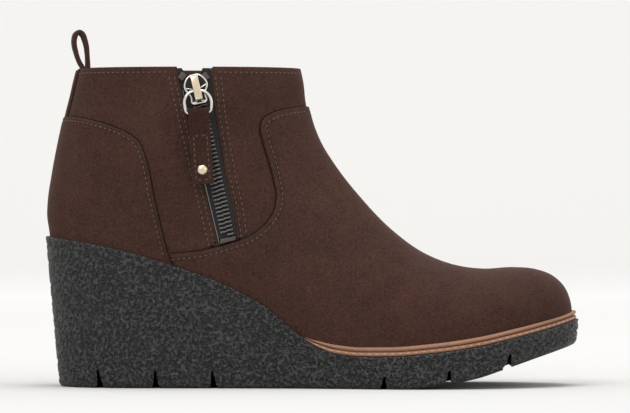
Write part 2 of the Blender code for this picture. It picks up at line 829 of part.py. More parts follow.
def make_slider():
    """Slider body on the chain: two plates, the post between them and the bridge."""
    matrix = frame_matrix(*hinge_frame())
    plate_top = -HINGE_LIFT + TEETH_RISE + GAP + PLATE_THICKNESS
    plate_low = plate_top - PLATE_THICKNESS
    inside_top = -HINGE_LIFT - TAPE_SET_BACK - TAPE_THICKNESS - 0.0010
    slider = flat_piece("slider", slider_outline(1.0), plate_low, plate_top, matrix, "pale gold")
    under = flat_piece("slider_under", slider_outline(0.9), inside_top - PLATE_THICKNESS, inside_top, matrix)
    half, post_at, sunk = POST_WIDTH / 2, SLIDER_LENGTH * POST_UP, PLATE_THICKNESS / 2
    post = [(half, post_at), (0, post_at + half), (-half, post_at), (0, post_at - half)]
    joined = flat_piece("slider_post", post, inside_top - sunk, plate_low + sunk, matrix)
    foot, head = SLIDER_LENGTH * BRIDGE_FOOT, SLIDER_LENGTH * BRIDGE_HEAD
    rise, thick, low = plate_top + BRIDGE_RISE, BRIDGE_THICKNESS, plate_top - sunk
    arch = [(foot, low), (foot, rise - thick), (foot + thick, rise), (head - thick, rise), (head, rise - thick)]
    arch += [(head, low), (head - thick, low), (head - thick, rise - thick)]
    arch += [(foot + thick, rise - thick), (foot + thick, low)]
    bridge = flat_piece("slider_bridge", arch, -BRIDGE_WIDTH / 2, BRIDGE_WIDTH / 2, matrix @ SIDEWAYS)
    for other in (under, joined, bridge):
        combine(slider, other, "UNION")
    return slider


def pull_frame():
    """The pull hangs from the hinge, leaning a little off the zip, down to its end."""
    origin, _, _, out = hinge_frame()
    end = skin(PULL_END_ALONG, PULL_END_HEIGHT, PULL_END_LIFT)[0]
    up = (origin - end).normalized()
    out = (out - up * out.dot(up)).normalized()
    return origin, up.cross(out), up, out


def make_ring(matrix):
    """Wire ring through the bridge, with a straight bar for the tab."""
    points = [(RING_WIDTH / 2 * row.across, -RING_DROP * row.down) for row in RING]
    points += [(-x, y) for x, y in points[-2:0:-1]]
    curve = bpy.data.curves.new("pull_ring", "CURVE")
    curve.dimensions = "3D"
    curve.bevel_depth = RING_WIRE
    curve.bevel_resolution = 2
    spline = curve.splines.new("POLY")
    spline.points.add(len(points) - 1)
    for point, (x, y) in zip(spline.points, points):
        point.co = (x, y, 0, 1)
    spline.use_cyclic_u = True
    ring = add_object("pull_ring", curve, "pale gold")
    ring.matrix_world = matrix
    return ring


def make_tab(matrix):
    """Leather strap folded round the ring's bar, with a stitched patch and a rivet hole."""
    hole_radius = RING_WIRE + GAP
    fold = hole_radius + TAB_THICKNESS / 2
    turns = np.linspace(math.radians(-60), math.radians(240), 13)
    top = [(-RING_DROP + fold * math.sin(t), fold * math.cos(t)) for t in turns]
    half, patch = TAB_THICKNESS / 2, TAB_THICKNESS / 2 + PATCH_THICKNESS
    foot, neck = -RING_DROP - TAB_LENGTH, -RING_DROP - fold * 2
    step = -RING_DROP - TAB_LENGTH * PATCH_START
    outline = [(neck, half), (step, half), (step, patch), (foot, patch), (foot, -half), (neck, -half)]
    outer = [(u, w) for u, w in top if u > -RING_DROP - fold * 0.8]
    outline = outline + [(u, w) for u, w in sorted(outer, key=lambda p: math.atan2(p[1], p[0] + RING_DROP))]
    turns = np.linspace(0, 2 * math.pi, 16, endpoint=False)
    hole = [(-RING_DROP + hole_radius * math.cos(t), hole_radius * math.sin(t)) for t in turns]
    half_wide = TAB_WIDTH / 2
    tab = flat_piece("pull_tab", outline, -half_wide, half_wide, matrix @ SIDEWAYS, "suede", holes=[hole])
    rivet_at = Matrix.Translation((0, -RING_DROP - TAB_LENGTH * RIVET_DOWN, 0))
    radius, depth = RIVET_SHANK + GAP, 4 * TAB_THICKNESS
    shape = bmesh.new()
    bmesh.ops.create_cone(shape, segments=20, cap_ends=True, radius1=radius, radius2=radius, depth=depth)
    cutter = bpy.data.meshes.new("rivet_hole")
    shape.transform(matrix @ rivet_at)
    shape.to_mesh(cutter)
    shape.free()
    combine(tab, add_object("rivet_hole", cutter), "DIFFERENCE")
    return rivet_at


def make_rivet(matrix, rivet_at):
    """Domed rivet through the tab: a turned profile."""
    top, back = TAB_THICKNESS / 2 + PATCH_THICKNESS + GAP, -TAB_THICKNESS / 2 - GAP
    turns = np.linspace(0, 1.35, 5)
    dome = [(RIVET_RADIUS * math.sin(a), top + RIVET_DOME * math.cos(a)) for a in turns]
    profile = [*dome, (RIVET_RADIUS, top), (RIVET_SHANK, top), (RIVET_SHANK, back)]
    washer = RIVET_RADIUS * 0.8
    profile += [(washer, back), (washer, back - RIVET_BACK), (0.0, back - RIVET_BACK)]
    mesh = bpy.data.meshes.new("tab_rivet")
    shape = bmesh.new()
    verts = [shape.verts.new((x, 0.0, z)) for x, z in profile]
    for a, b in zip(verts, verts[1:]):
        shape.edges.new((a, b))
    shape.to_mesh(mesh)
    shape.free()
    rivet = add_object("tab_rivet", mesh, "pale gold")
    rivet.matrix_world = matrix @ rivet_at
    screw = rivet.modifiers.new("Screw", "SCREW")
    screw.axis = "Z"
    screw.steps = screw.render_steps = 14
    screw.use_merge_vertices = True
    screw.merge_threshold = 0.00001
    return rivet


def tape_frame(along, height, upward):
    """Local axes on the tape: Y as near as can be to the given direction, Z outwards."""
    origin, out = skin(along, height, -TAPE_SET_BACK + 2 * GAP)
    up = (upward - out * out.dot(upward)).normalized()
    return frame_matrix(origin, up.cross(out), up, out)


def make_stops():
    """Metal stops at the tape ends, and the bar that closes the bottom of the chain."""
    half, tall = STOP_WIDTH / 2, STOP_LENGTH / 2
    for name, side in (("top_stop_back", -1), ("top_stop_front", 1)):
        along = float(smooth(ZIP[::-1], "teeth", STOP_HEIGHT)) + side * STOP_OFFSET / BOOT_LENGTH
        matrix = tape_frame(along, STOP_HEIGHT, Vector((-side * 0.75, 0, 1)))
        outline = [(-half, -tall), (half, -tall), (half, tall), (-half, tall)]
        flat_piece(name, outline, 0.0, STOP_THICKNESS, matrix, "dark metal")
    matrix = tape_frame(float(smooth(ZIP[::-1], "teeth", BAR_HEIGHT)), BAR_HEIGHT, Vector((0, 0, 1)))
    half, slope = CHAIN_WIDTH / 2, BAR_LENGTH * 0.25
    outline = [(-half, -BAR_LENGTH / 2 - slope), (half, -BAR_LENGTH / 2 + slope)]
    outline += [(half, BAR_LENGTH / 4 + slope), (-half, BAR_LENGTH / 4 - slope)]
    flat_piece("bottom_stop", outline, 0.0, BAR_THICKNESS, matrix, "dark metal")


def back_frame():
    """Inside of the collar at the back, where the loop is sewn in."""
    x, z = (float(v) for v in BACK_LINE.at(1.0))
    return x + WALL + 4 * GAP, z


def make_pull_loop():
    """Folded strap standing over the collar's back, its foot inside the wall."""
    x, z = back_frame()
    line = Path([(x - row.back * LOOP_REACH, z + row.rise * LOOP_HEIGHT) for row in LOOP])
    middle = np.column_stack(line.at(np.linspace(0, 1, 24)))
    step = np.gradient(middle, axis=0)
    side = np.column_stack([step[:, 1], -step[:, 0]]) / np.hypot(*step.T)[:, None]
    outer, inner = middle + side * LOOP_STRAP / 2, middle - side * LOOP_STRAP / 2
    foot = [(x, z - LOOP_FOOT), (float(outer[0, 0]), z - LOOP_FOOT)]
    outline = [*foot, *map(tuple, outer), (x, z + GAP)]
    hole = [tuple(p) for p in inner if p[1] > z + LOOP_HEIGHT * LOOP_FORK]
    matrix = Matrix(((1, 0, 0, 0), (0, 0, -1, -Y_SHIFT), (0, 1, 0, 0), (0, 0, 0, 1)))
    low, high = -LOOP_WIDTH / 2, LOOP_WIDTH / 2
    return flat_piece("pull_loop", outline, low, high, matrix, "suede", holes=[hole])


def make_back_strip():
    """Strip over the back seam, from the collar down to the counter."""
    strip = form_shell("back_strip", GAP, GAP + BACK_STRIP_THICKNESS, "suede")
    low = COUNTER_EDGE[0].height * COLLAR_HEIGHT + GAP
    high = COLLAR_HEIGHT - 2 * GAP
    behind, ahead = x_at(-0.2), x_at(0.2)
    outline = [(behind, low), (ahead, low), (ahead, high), (behind, high)]
    half = BACK_STRIP_WIDTH / 2
    combine(strip, side_prism("strip_outline", outline, -Y_SHIFT - half, -Y_SHIFT + half), "INTERSECT")
    return strip


def band(name, left_rows, right_rows, style):
    """Closed body from rows of matching left and right points, bottom row first."""
    left, right = np.array(left_rows), np.array(right_rows)
    levels, count = left.shape[:2]
    rings = np.concatenate([left, right[:, -2:0:-1]], axis=1)
    columns = rings.shape[1]
    faces = grid_faces(levels, columns)
    for level, flip in ((0, True), (levels - 1, False)):
        start = level * columns
        for j in range(count - 1):
            left_pair = (start + j, start + j + 1)
            right_pair = [start + (columns - k) % columns if k else start for k in (j, j + 1)]
            face = [left_pair[0], left_pair[1], right_pair[1], right_pair[0]]
            face = list(dict.fromkeys(face))
            faces.append(tuple(face[::-1] if flip else face))
    return add_object(name, mesh_from(name, rings.reshape(-1, 3), faces), style)


def groove_outline(groove):
    """Side view of a tread groove: narrow above, with its lug corners opening below."""
    x, low = float(x_at(groove.along)), float(sole_bottom(groove.along))
    halves = []
    for side in (1, -1):
        half = []
        for row in NOTCH:
            out = side * row.out * GROOVE_MOUTH / 2 + row.lean * groove.lean * GROOVE_MOUTH
            half.append((x + out, low + row.up * groove.depth * PLATFORM_HEIGHT))
        halves.append([*half, (half[-1][0], BELOW)])
    return [*halves[0], *halves[1][::-1]]


def make_sole():
    """Wedge and platform in one: leaning walls, rounded edges, grooves across."""
    share = (1 - np.cos(np.linspace(0, math.pi, SOLE_STEPS + 1))) / 2
    levels = [(SOLE_EDGE_RADIUS * z, 0.0, SOLE_EDGE_RADIUS * i) for z, i in EDGE_ROUND]
    levels += [(0.0, f, 0.0) for f in WALL_LEVELS]
    levels += [(-SOLE_RIM_RADIUS, 1.0, 0.0), (-0.3 * SOLE_RIM_RADIUS, 1.0, 0.3 * SOLE_RIM_RADIUS)]
    levels += [(0.0, 1.0, SOLE_RIM_RADIUS)]
    left_rows, right_rows = [], []
    for lift, rise, inset in levels:
        bottom_x = HEEL_RAKE + (BOOT_LENGTH - HEEL_RAKE - TOE_UNDERCUT) * share
        x = bottom_x * (1 - rise) + BOOT_LENGTH * share * rise
        x = x + inset * np.cos(math.pi * share)
        along = x / BOOT_LENGTH
        top, low = sole_top(along), sole_bottom(along)
        z = low * (1 - rise) + top * rise + lift
        taper = HEEL_TAPER * (1 - rise) * np.clip(1 - share / 0.6, 0, 1)
        body = np.maximum(smooth(PLAN, "half_width", share) * HALF_BALL, 1e-6)
        half = plan_half(share) * (1 - (taper + inset) / body)
        centre = plan_centre(share)
        left_rows.append(np.column_stack([x - SOLE_REACH, centre - half - Y_SHIFT, z]))
        right_rows.append(np.column_stack([x - SOLE_REACH, centre + half - Y_SHIFT, z]))
    sole = band("sole", left_rows, right_rows, "crepe rubber")
    for n, groove in enumerate(GROOVES):
        outline = groove_outline(groove)
        outer = side_prism(f"outer_groove_{n + 1}", outline, -SIDE_REACH, -GROOVE_WEB / 2)
        inner = side_prism(f"inner_groove_{n + 1}", outline, GROOVE_WEB / 2, SIDE_REACH)
        combine(sole, outer, "DIFFERENCE")
        combine(sole, inner, "DIFFERENCE")
    return sole


def inset_outline(along, inset):
    """Half-width of the sole's outline, drawn in by a distance all round."""
    low, high = inset / BOOT_LENGTH, 1 - inset / BOOT_LENGTH
    share = np.clip((along - low) / (high - low), 0, 1)
    body = smooth(PLAN, "half_width", share) * HALF_BALL
    return plan_centre(share), plan_half(share) * (1 - inset / body)


def make_welt():
    """Tan strip round the forefoot: a round bead over a stitched flange."""
    outer_inset = WELT_LEDGE
    inner_inset = TOE_LEDGE + OVERLAY + WALL
    turn = (1 - np.cos(np.linspace(0, math.pi, WELT_STEPS + 1))) / 2
    share = np.concatenate([turn, turn[-2::-1]])
    sides = np.concatenate([-np.ones(len(turn)), np.ones(len(turn) - 1)])
    sides[WELT_STEPS] = 0
    rows = []
    for inward, up in WELT_SECTION:
        inset = outer_inset + (inner_inset - outer_inset) * inward
        last = 1 - inset / BOOT_LENGTH
        along = WELT_FIRST + (last - WELT_FIRST) * share
        centre, half = inset_outline(along, inset)
        low = sole_top(along) + GAP
        tall = welt_rise(along) - GAP
        rows.append(np.column_stack([x_at(along), centre + sides * half - Y_SHIFT, low + tall * up]))
    points = np.array(rows).transpose(1, 0, 2)
    count, ring = points.shape[:2]
    faces = grid_faces(count, ring)
    faces += [tuple(range(ring))[::-1], tuple(range((count - 1) * ring, count * ring))]
    mesh = mesh_from("welt", points.reshape(-1, 3), faces)
    shape = bmesh.new()
    shape.from_mesh(mesh)
    bmesh.ops.recalc_face_normals(shape, faces=shape.faces)
    shape.to_mesh(mesh)
    shape.free()
    return add_object("welt", mesh, "tan welt")


def make_insole():
    """Padded footbed on the sole, inside the wall and the welt."""
    share = (1 - np.cos(np.linspace(0, math.pi, SOLE_STEPS + 1))) / 2
    left_rows, right_rows = [], []
    for rise, inset_more in ((0.0, 0.0), (1.0, 0.0), (1.0, INSOLE_EDGE)):
        inset = TOE_LEDGE + OVERLAY + WALL + INSOLE_INSET + inset_more
        low, high = inset / BOOT_LENGTH, 1 - inset / BOOT_LENGTH
        along = low + (high - low) * share
        centre, half = inset_outline(along, inset)
        bottom = sole_top(along) + 1.5 * GAP
        top = feather(along) + INSOLE_RISE
        z = bottom + (top - bottom) * rise - (0.0 if inset_more or not rise else INSOLE_EDGE)
        left_rows.append(np.column_stack([x_at(along), centre - half - Y_SHIFT, z]))
        right_rows.append(np.column_stack([x_at(along), centre + half - Y_SHIFT, z]))
    return band("insole", left_rows, right_rows, "lining")


def shade(obj):
    if obj.type == "MESH":
        obj.data.shade_smooth()
        obj.data.set_sharp_from_angle(angle=math.radians(35))


def build():
    start_scene()
    make_sole()
    make_welt()
    make_insole()
    make_upper()
    make_back_strip()
    make_pull_loop()
    make_zip()
    make_stops()
    make_slider()
    matrix = frame_matrix(*pull_frame())
    make_ring(matrix)
    rivet_at = make_tab(matrix)
    make_rivet(matrix, rivet_at)
    for obj in PARTS.objects:
        shade(obj)


build()
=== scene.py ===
"""Looks of the wedge ankle boot: suede upper, crepe wedge, tan welt and side zip.

Metres, +Z up, toe to +X, the outer side with the zip to -Y. along is a share of the
boot's length from the heel, height a share of the collar's height.
"""

import math
from collections import namedtuple
from contextlib import contextmanager

import bmesh
import bpy
import numpy as np
from mathutils import Matrix, Vector


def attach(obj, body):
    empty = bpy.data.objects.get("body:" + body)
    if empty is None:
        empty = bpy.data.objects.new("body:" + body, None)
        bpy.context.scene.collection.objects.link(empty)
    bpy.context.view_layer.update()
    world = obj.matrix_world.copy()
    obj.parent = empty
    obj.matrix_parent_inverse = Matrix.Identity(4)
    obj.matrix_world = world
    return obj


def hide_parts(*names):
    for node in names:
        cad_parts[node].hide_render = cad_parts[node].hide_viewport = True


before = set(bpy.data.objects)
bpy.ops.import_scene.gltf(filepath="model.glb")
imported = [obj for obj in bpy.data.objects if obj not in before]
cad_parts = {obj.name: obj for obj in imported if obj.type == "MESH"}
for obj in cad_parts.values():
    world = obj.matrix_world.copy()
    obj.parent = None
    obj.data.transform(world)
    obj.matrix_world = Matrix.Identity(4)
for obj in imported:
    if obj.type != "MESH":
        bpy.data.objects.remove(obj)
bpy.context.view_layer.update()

# Sizes of the boot, as in its solids
BOOT_LENGTH = 0.250
BALL_WIDTH = 0.0916
HEEL_HEIGHT = 0.0703
PLATFORM_HEIGHT = 0.0149
TOE_RISE = 0.0166
TOE_SPRING = 0.0202
COLLAR_HEIGHT = 0.1480
UPPER_WIDTH = 0.0636
WALL = 0.0020
OVERLAY = 0.0016
GAP = 0.0003
TUCK = 0.0030
HEEL_LEDGE = 0.0018
TOE_LEDGE = 0.0033
HEEL_RAKE = 0.0062
TOE_UNDERCUT = 0.0010
HEEL_TAPER = 0.0030
SOLE_EDGE_RADIUS = 0.0022
SOLE_RIM_RADIUS = 0.0009
WELT_HEIGHT = 0.0045
WELT_LEDGE = 0.0013
INSOLE_RISE = 0.0022
GROOVE_MOUTH = 0.0040

TAPE_THICKNESS = 0.0008
TAPE_SET_BACK = 0.0005
TAPE_SPREAD = 0.0050
TEETH_RISE = 0.0009
TOOTH_COUNT = 34
SLIDER_WIDTH = 0.0114
SLIDER_LENGTH = 0.0142
PLATE_THICKNESS = 0.0010
BRIDGE_WIDTH = 0.0034
BRIDGE_RISE = 0.0034
BRIDGE_THICKNESS = 0.0010
HINGE_LIFT = 0.0036
RING_WIDTH = 0.0125
RING_DROP = 0.0100
RING_WIRE = 0.0007
TAB_WIDTH = 0.0098
TAB_THICKNESS = 0.0022
TAB_LENGTH = 0.0330
PATCH_THICKNESS = 0.0007
PATCH_START = 0.30
RIVET_RADIUS = 0.0022
RIVET_DOME = 0.0011
RIVET_DOWN = 0.805
LOOP_WIDTH = 0.0100
LOOP_HEIGHT = 0.0180
LOOP_REACH = 0.0053
LOOP_STRAP = 0.0019
LOOP_FOOT = 0.0080
BACK_STRIP_WIDTH = 0.0150
BACK_STRIP_THICKNESS = 0.0010
GROOVE_WEB = 0.0120

# Sizes of the finish
TOOTH_LENGTH = 0.0034
TOOTH_HEIGHT = 0.00092
TOOTH_DEPTH = 0.0014
STITCH_PITCH = 0.0025
COLLAR_STITCH = 0.0021
PATCH_STITCH = 0.0018
LOOP_TWIST = 9
LOOP_FULLNESS = 1.25
LOOP_LEAN = [0.0] * 9 + [0.02, 0.08, 0.20, 0.36]
UPPER_COLUMNS = 290
UPPER_ROWS = 104
EDGE_ROUND = 0.0009
STITCH_TROUGH = 0.00022
STITCH_TROUGH_WIDTH = 0.0006
SOLE_COLUMNS = 480
SOLE_ROWS = 74
CREPE_PITCH = 0.0025
CREPE_DEPTH = 0.00042
CREPE_WAVES = 56
CRUMB_MIDDLE = 0.72
CRUMB_AT_EDGE = 0.55
TURN_DEPTH = 0.0019
SLOT_SHARES = (0.235, 0.375)
OUTER_Y = -0.02
CUT_EDGE_RADIUS = 0.00032
CUT_EDGE_OUT = 0.00012
FOLD_RADIUS = 0.00062
FOLD_DEPTH = 0.00052
LINING_FRONT = 0.0001
LINING_BACK = 0.0006
LINING_DROP = 0.0016
LINING_OUTER_Y = -0.015
WELT_FIRST = 0.4770
WELT_COLUMNS = 110
VAMP_STITCH = 0.0026
COUNTER_STITCH = 0.0021
ZIP_STITCHES = (0.0015, 0.0041)
STITCH_SIZE = (0.0016, 0.00055, 0.00045)
HOLE_SIZE = (0.00085, 0.00062, 0.00022)
HOLE_LIFT = 0.00004
WELT_STITCH_SIZE = (0.0024, 0.00085, 0.0006)
WELT_STITCH_PITCH = 0.0036
TAB_STITCH_PITCH = 0.0024
CORD_RISE = 0.0004
CORD_INSET = 0.0024
CORD_WIDTH = 0.0008
CURL_RISE = 0.0011
CURL_START = 0.965
TOOTH_BEVEL = 0.00032
TOOTH_OFFSET = 0.0015
SLIDER_GAP = 0.0010
RIM_RADIUS = 0.00048
TAB_BEVEL = 0.00042
STRIP_COLUMNS = 26
EDGE_SHADE_RADIUS = 0.0003

# Far enough out and down for the outlines and cutters that run off the boot
FAR = 0.2
BELOW = -0.02

# The camera stands about 2 m off, level with the middle of the boot
CAMERA_DISTANCE = 2.0
CAMERA_HEIGHT = 0.0839
PHOTO_WIDTH = 630
METRES_PER_PIXEL = 0.0004685
PHOTO_MIDDLE_X = 0.00103
SENSOR = 36.0



def table(kind, values):
    """A table whose rows have named columns."""
    return [kind(*row) for row in values]


Plan = namedtuple("Plan", "along centre half_width")
PLAN = table(Plan, [
    (0.00, 0.000, 0.720), (0.16, 0.000, 0.720), (0.30, -0.022, 0.705), (0.42, -0.055, 0.695),
    (0.52, -0.061, 0.765), (0.62, -0.057, 0.900), (0.70, -0.026, 0.985), (0.76, 0.011, 1.000),
    (0.84, 0.066, 0.965), (0.92, 0.120, 0.880), (1.00, 0.165, 0.780),
])
HEEL_ROUND = 0.17
TOE_ROUND = 0.21
ROUND_POWER = 2.2

Rim = namedtuple("Rim", "along wedge toe")
RIM = table(Rim, [
    (0.000, 1.000, 0.0), (0.127, 0.901, 0.0), (0.238, 0.760, 0.0), (0.331, 0.609, 0.0),
    (0.405, 0.435, 0.0), (0.442, 0.307, 0.0), (0.475, 0.182, 0.0), (0.504, 0.087, 0.0),
    (0.542, 0.022, 0.0), (0.590, 0.000, 0.0), (0.640, 0.000, 0.006), (0.725, 0.000, 0.106),
    (0.799, 0.000, 0.262), (0.873, 0.000, 0.502), (0.950, 0.000, 0.785), (1.000, 0.000, 1.000),
])
WELT_START = 0.4745
WELT_FULL = 0.545

Tread = namedtuple("Tread", "along spring")
TREAD = table(Tread, [
    (0.000, 0.000), (0.665, 0.000), (0.745, 0.105), (0.800, 0.235), (0.858, 0.460), (0.920, 0.705),
    (1.000, 1.000),
])

Groove = namedtuple("Groove", "along depth lean")
GROOVES = table(Groove, [
    (0.102, 0.56, 0.35), (0.209, 0.56, 0.10), (0.314, 0.54, 0.25), (0.6315, 0.40, -0.10),
    (0.7510, 0.44, -0.15), (0.8640, 0.42, -0.35),
])

Side = namedtuple("Side", "along rise")
RIDGE = table(Side, [
    (0.9800, 0.0000), (0.9772, 0.0454), (0.9680, 0.0927), (0.9465, 0.1381), (0.9170, 0.1623),
    (0.8735, 0.1704), (0.8200, 0.1643), (0.7668, 0.1794), (0.7052, 0.2308), (0.6440, 0.3276),
    (0.5840, 0.4647), (0.5380, 0.5937), (0.5085, 0.6996), (0.4925, 0.7933), (0.4855, 0.8770),
    (0.4825, 0.9425), (0.4770, 1.0000),
])
BACK = table(Side, [
    (0.0136, 0.0000), (0.0085, 0.1382), (0.0095, 0.2079), (0.0170, 0.3733), (0.0280, 0.5600),
    (0.0385, 0.7113), (0.0488, 0.8425), (0.0552, 0.9323), (0.0608, 1.0000),
])

Fan = namedtuple("Fan", "under over half_width widest power")
FAN = table(Fan, [
    (0.00, 0.000, 1.13, 0.24, 2.3), (0.02, 0.066, 1.15, 0.24, 2.3), (0.06, 0.133, 1.18, 0.24, 2.3),
    (0.12, 0.212, 1.25, 0.24, 2.25), (0.20, 0.323, 1.295, 0.24, 2.15), (0.30, 0.450, 1.290, 0.24, 2.0),
    (0.40, 0.551, 1.160, 0.25, 1.9), (0.50, 0.640, 1.030, 0.28, 1.85), (0.62, 0.723, 0.970, 0.34, 1.85),
    (0.75, 0.800, 0.975, 0.40, 1.9), (0.88, 0.864, 0.990, 0.45, 1.95), (1.00, 0.914, 0.995, 0.50, 2.0),
    (1.25, 0.936, 1.000, 0.50, 2.0), (1.50, 0.958, 0.995, 0.50, 2.05), (1.75, 0.980, 0.965, 0.50, 2.1),
    (2.00, 1.000, 0.935, 0.50, 2.1),
])
HEEL_POWER = 2.2

Edge = namedtuple("Edge", "along height")
VAMP_EDGE = table(Edge, [
    (0.5444, 0.912), (0.4981, 0.887), (0.4607, 0.876), (0.4233, 0.859), (0.4070, 0.840),
    (0.4024, 0.815), (0.4063, 0.775), (0.4178, 0.711), (0.4277, 0.648), (0.4329, 0.601),
    (0.4311, 0.570), (0.4209, 0.530), (0.4045, 0.499), (0.3789, 0.471), (0.3455, 0.452),
    (0.3012, 0.432), (0.2366, 0.419),
])
VAMP_TAIL = [Edge(0.2440, 0.384), Edge(0.2578, 0.320)]
COUNTER_EDGE = table(Edge, [
    (-0.0200, 0.853), (0.0363, 0.850), (0.0708, 0.845), (0.1003, 0.833), (0.1309, 0.817),
    (0.1565, 0.798), (0.1771, 0.772), (0.1899, 0.729), (0.1988, 0.673), (0.2047, 0.617),
    (0.2106, 0.570), (0.2194, 0.508), (0.2303, 0.433), (0.2401, 0.384), (0.2539, 0.320),
])

Zip = namedtuple("Zip", "height back teeth front")
ZIP = table(Zip, [
    (1.030, 0.2425, 0.2731, 0.3102), (0.933, 0.2560, 0.2854, 0.3169), (0.862, 0.2660, 0.2944, 0.3212),
    (0.763, 0.2800, 0.3069, 0.3307), (0.654, 0.2952, 0.3206, 0.3417), (0.564, 0.3079, 0.3320, 0.3539),
    (0.440, 0.3255, 0.3476, 0.3650),
])
ZIP_BOTTOM = 0.440
ZIP_SPLIT = 0.944
SLIDER_HEIGHT = 0.925
CHAIN_TOP = 0.905
CHAIN_BOTTOM = 0.478
STOP_HEIGHT = 0.972
BAR_HEIGHT = 0.470
STOP_OFFSET = 0.00525
PULL_END_ALONG = 0.2978
PULL_END_HEIGHT = 0.6370
PULL_END_LIFT = 0.0042

Shield = namedtuple("Shield", "across up")
SHIELD = table(Shield, [
    (0.30, 0.57), (0.62, 0.50), (0.88, 0.36), (1.00, 0.20), (0.92, 0.08), (0.70, -0.06), (0.62, -0.20),
    (0.64, -0.38), (0.50, -0.43),
])
BRIDGE_HEAD = 0.50
BRIDGE_FOOT = -0.31

Wire = namedtuple("Wire", "across down")
RING = table(Wire, [
    (0.00, 0.000), (0.26, 0.006), (0.52, 0.050), (0.76, 0.160), (0.93, 0.330), (1.00, 0.520),
    (0.99, 0.700), (0.95, 0.850), (0.89, 0.950), (0.80, 1.000), (0.40, 1.000), (0.00, 1.000),
])

Bend = namedtuple("Bend", "back rise")
LOOP = table(Bend, [
    (-0.22, 0.12), (-0.17, 0.38), (-0.09, 0.60), (0.08, 0.79), (0.28, 0.92), (0.57, 0.97), (0.83, 0.92),
    (0.98, 0.79), (0.98, 0.64), (0.81, 0.45), (0.57, 0.28), (0.25, 0.15), (-0.08, 0.07),
])


def hermite(knots, values, slopes, at):
    """Cubic curve through the knots, with the given slopes."""
    knots, values, slopes = (np.asarray(a, float) for a in (knots, values, slopes))
    at = np.clip(at, knots[0], knots[-1])
    i = np.clip(np.searchsorted(knots, at, "right") - 1, 0, len(knots) - 2)
    step = knots[i + 1] - knots[i]
    t = (at - knots[i]) / step
    bend = values[i + 1] - values[i]
    start, end = slopes[i] * step, slopes[i + 1] * step
    return values[i] + t * (start + t * ((3 * bend - 2 * start - end) + t * (start + end - 2 * bend)))


def smooth(rows, column, at):
    """A table's column at a share of its first column, without overshoot."""
    knots = np.array([row[0] for row in rows], float)
    values = np.array([getattr(row, column) for row in rows], float)
    rates = np.diff(values) / np.diff(knots)
    slopes = np.concatenate([rates[:1], np.zeros(len(rates) - 1), rates[-1:]])
    same = rates[:-1] * rates[1:] > 0
    middle = 2 * rates[:-1] * rates[1:] / np.where(same, rates[:-1] + rates[1:], 1.0)
    slopes[1:-1] = np.where(same, middle, 0.0)
    return hermite(knots, values, slopes, np.asarray(at, float))


def x_at(along):
    return (np.asarray(along, float) - 0.5) * BOOT_LENGTH


class Path:
    """A smooth side-view line through points, measured by its length."""

    def __init__(self, points, fine=400):
        points = np.asarray(points, float)
        chord = np.concatenate([[0], np.cumsum(np.hypot(*np.diff(points, axis=0).T))])
        at = np.linspace(0, chord[-1], fine)
        lines = [hermite(chord, column, np.gradient(column, chord), at) for column in points.T]
        self.points = np.column_stack(lines)
        steps = np.hypot(*np.diff(self.points, axis=0).T)
        self.share = np.concatenate([[0], np.cumsum(steps)]) / steps.sum()

    def at(self, share):
        return [np.interp(share, self.share, column) for column in self.points.T]


def round_end(reach, length):
    left = np.clip(1 - np.asarray(reach, float) / length, 0, 1)
    return (1 - left**ROUND_POWER) ** (1 / ROUND_POWER)


def plan_centre(along):
    return smooth(PLAN, "centre", along) * BALL_WIDTH / 2


def plan_half(along):
    ends = round_end(along, HEEL_ROUND) * round_end(1 - np.asarray(along, float), TOE_ROUND)
    return smooth(PLAN, "half_width", along) * BALL_WIDTH / 2 * ends


def width_shift():
    along = np.linspace(0, 1, 400)
    low = (plan_centre(along) - plan_half(along)).min()
    high = (plan_centre(along) + plan_half(along)).max()
    return (low + high) / 2


Y_SHIFT = width_shift()


def sole_top(along):
    fall = smooth(RIM, "wedge", along) * (HEEL_HEIGHT - PLATFORM_HEIGHT)
    return PLATFORM_HEIGHT + fall + smooth(RIM, "toe", along) * TOE_RISE


def sole_bottom(along):
    return smooth(TREAD, "spring", along) * TOE_SPRING


def welt_rise(along):
    t = np.clip((np.asarray(along, float) - WELT_START) / (WELT_FULL - WELT_START), 0, 1)
    return WELT_HEIGHT * t * (2 - t)


def feather(along):
    return sole_top(along) + welt_rise(along)


TOE_ALONG = 1 - (TOE_LEDGE + OVERLAY) / BOOT_LENGTH
HEEL_ALONG = (HEEL_LEDGE + OVERLAY) / BOOT_LENGTH


def side_line(rows, foot_along):
    base = float(feather(foot_along))
    first = rows[0].along
    points = [(x_at(foot_along), base - TUCK)]
    for row in rows:
        points.append((x_at(foot_along + row.along - first), base + row.rise * (COLLAR_HEIGHT - base)))
    return Path(points)


RIDGE_LINE = side_line(RIDGE, TOE_ALONG)
BACK_LINE = side_line(BACK, HEEL_ALONG)


def foot_outline(along):
    share = (along - HEEL_ALONG) / (TOE_ALONG - HEEL_ALONG)
    ledge = HEEL_LEDGE + (TOE_LEDGE - HEEL_LEDGE) * np.clip((along - WELT_START) / 0.1, 0, 1)
    body = smooth(PLAN, "half_width", share) * BALL_WIDTH / 2
    return plan_half(np.clip(share, 0, 1)) * (1 - (ledge + OVERLAY) / body)


def fan_line(under):
    under = np.asarray(under, float)
    along = TOE_ALONG + (HEEL_ALONG - TOE_ALONG) * np.clip(under, 0, 1)
    back_x, back_z = BACK_LINE.at(np.clip(under - 1, 0, 1))
    low_x = np.where(under < 1, x_at(along), back_x)
    low_z = np.where(under < 1, feather(along) - TUCK, back_z)
    high_x, high_z = RIDGE_LINE.at(smooth(FAN, "over", under))
    return along, low_x, low_z, high_x, high_z


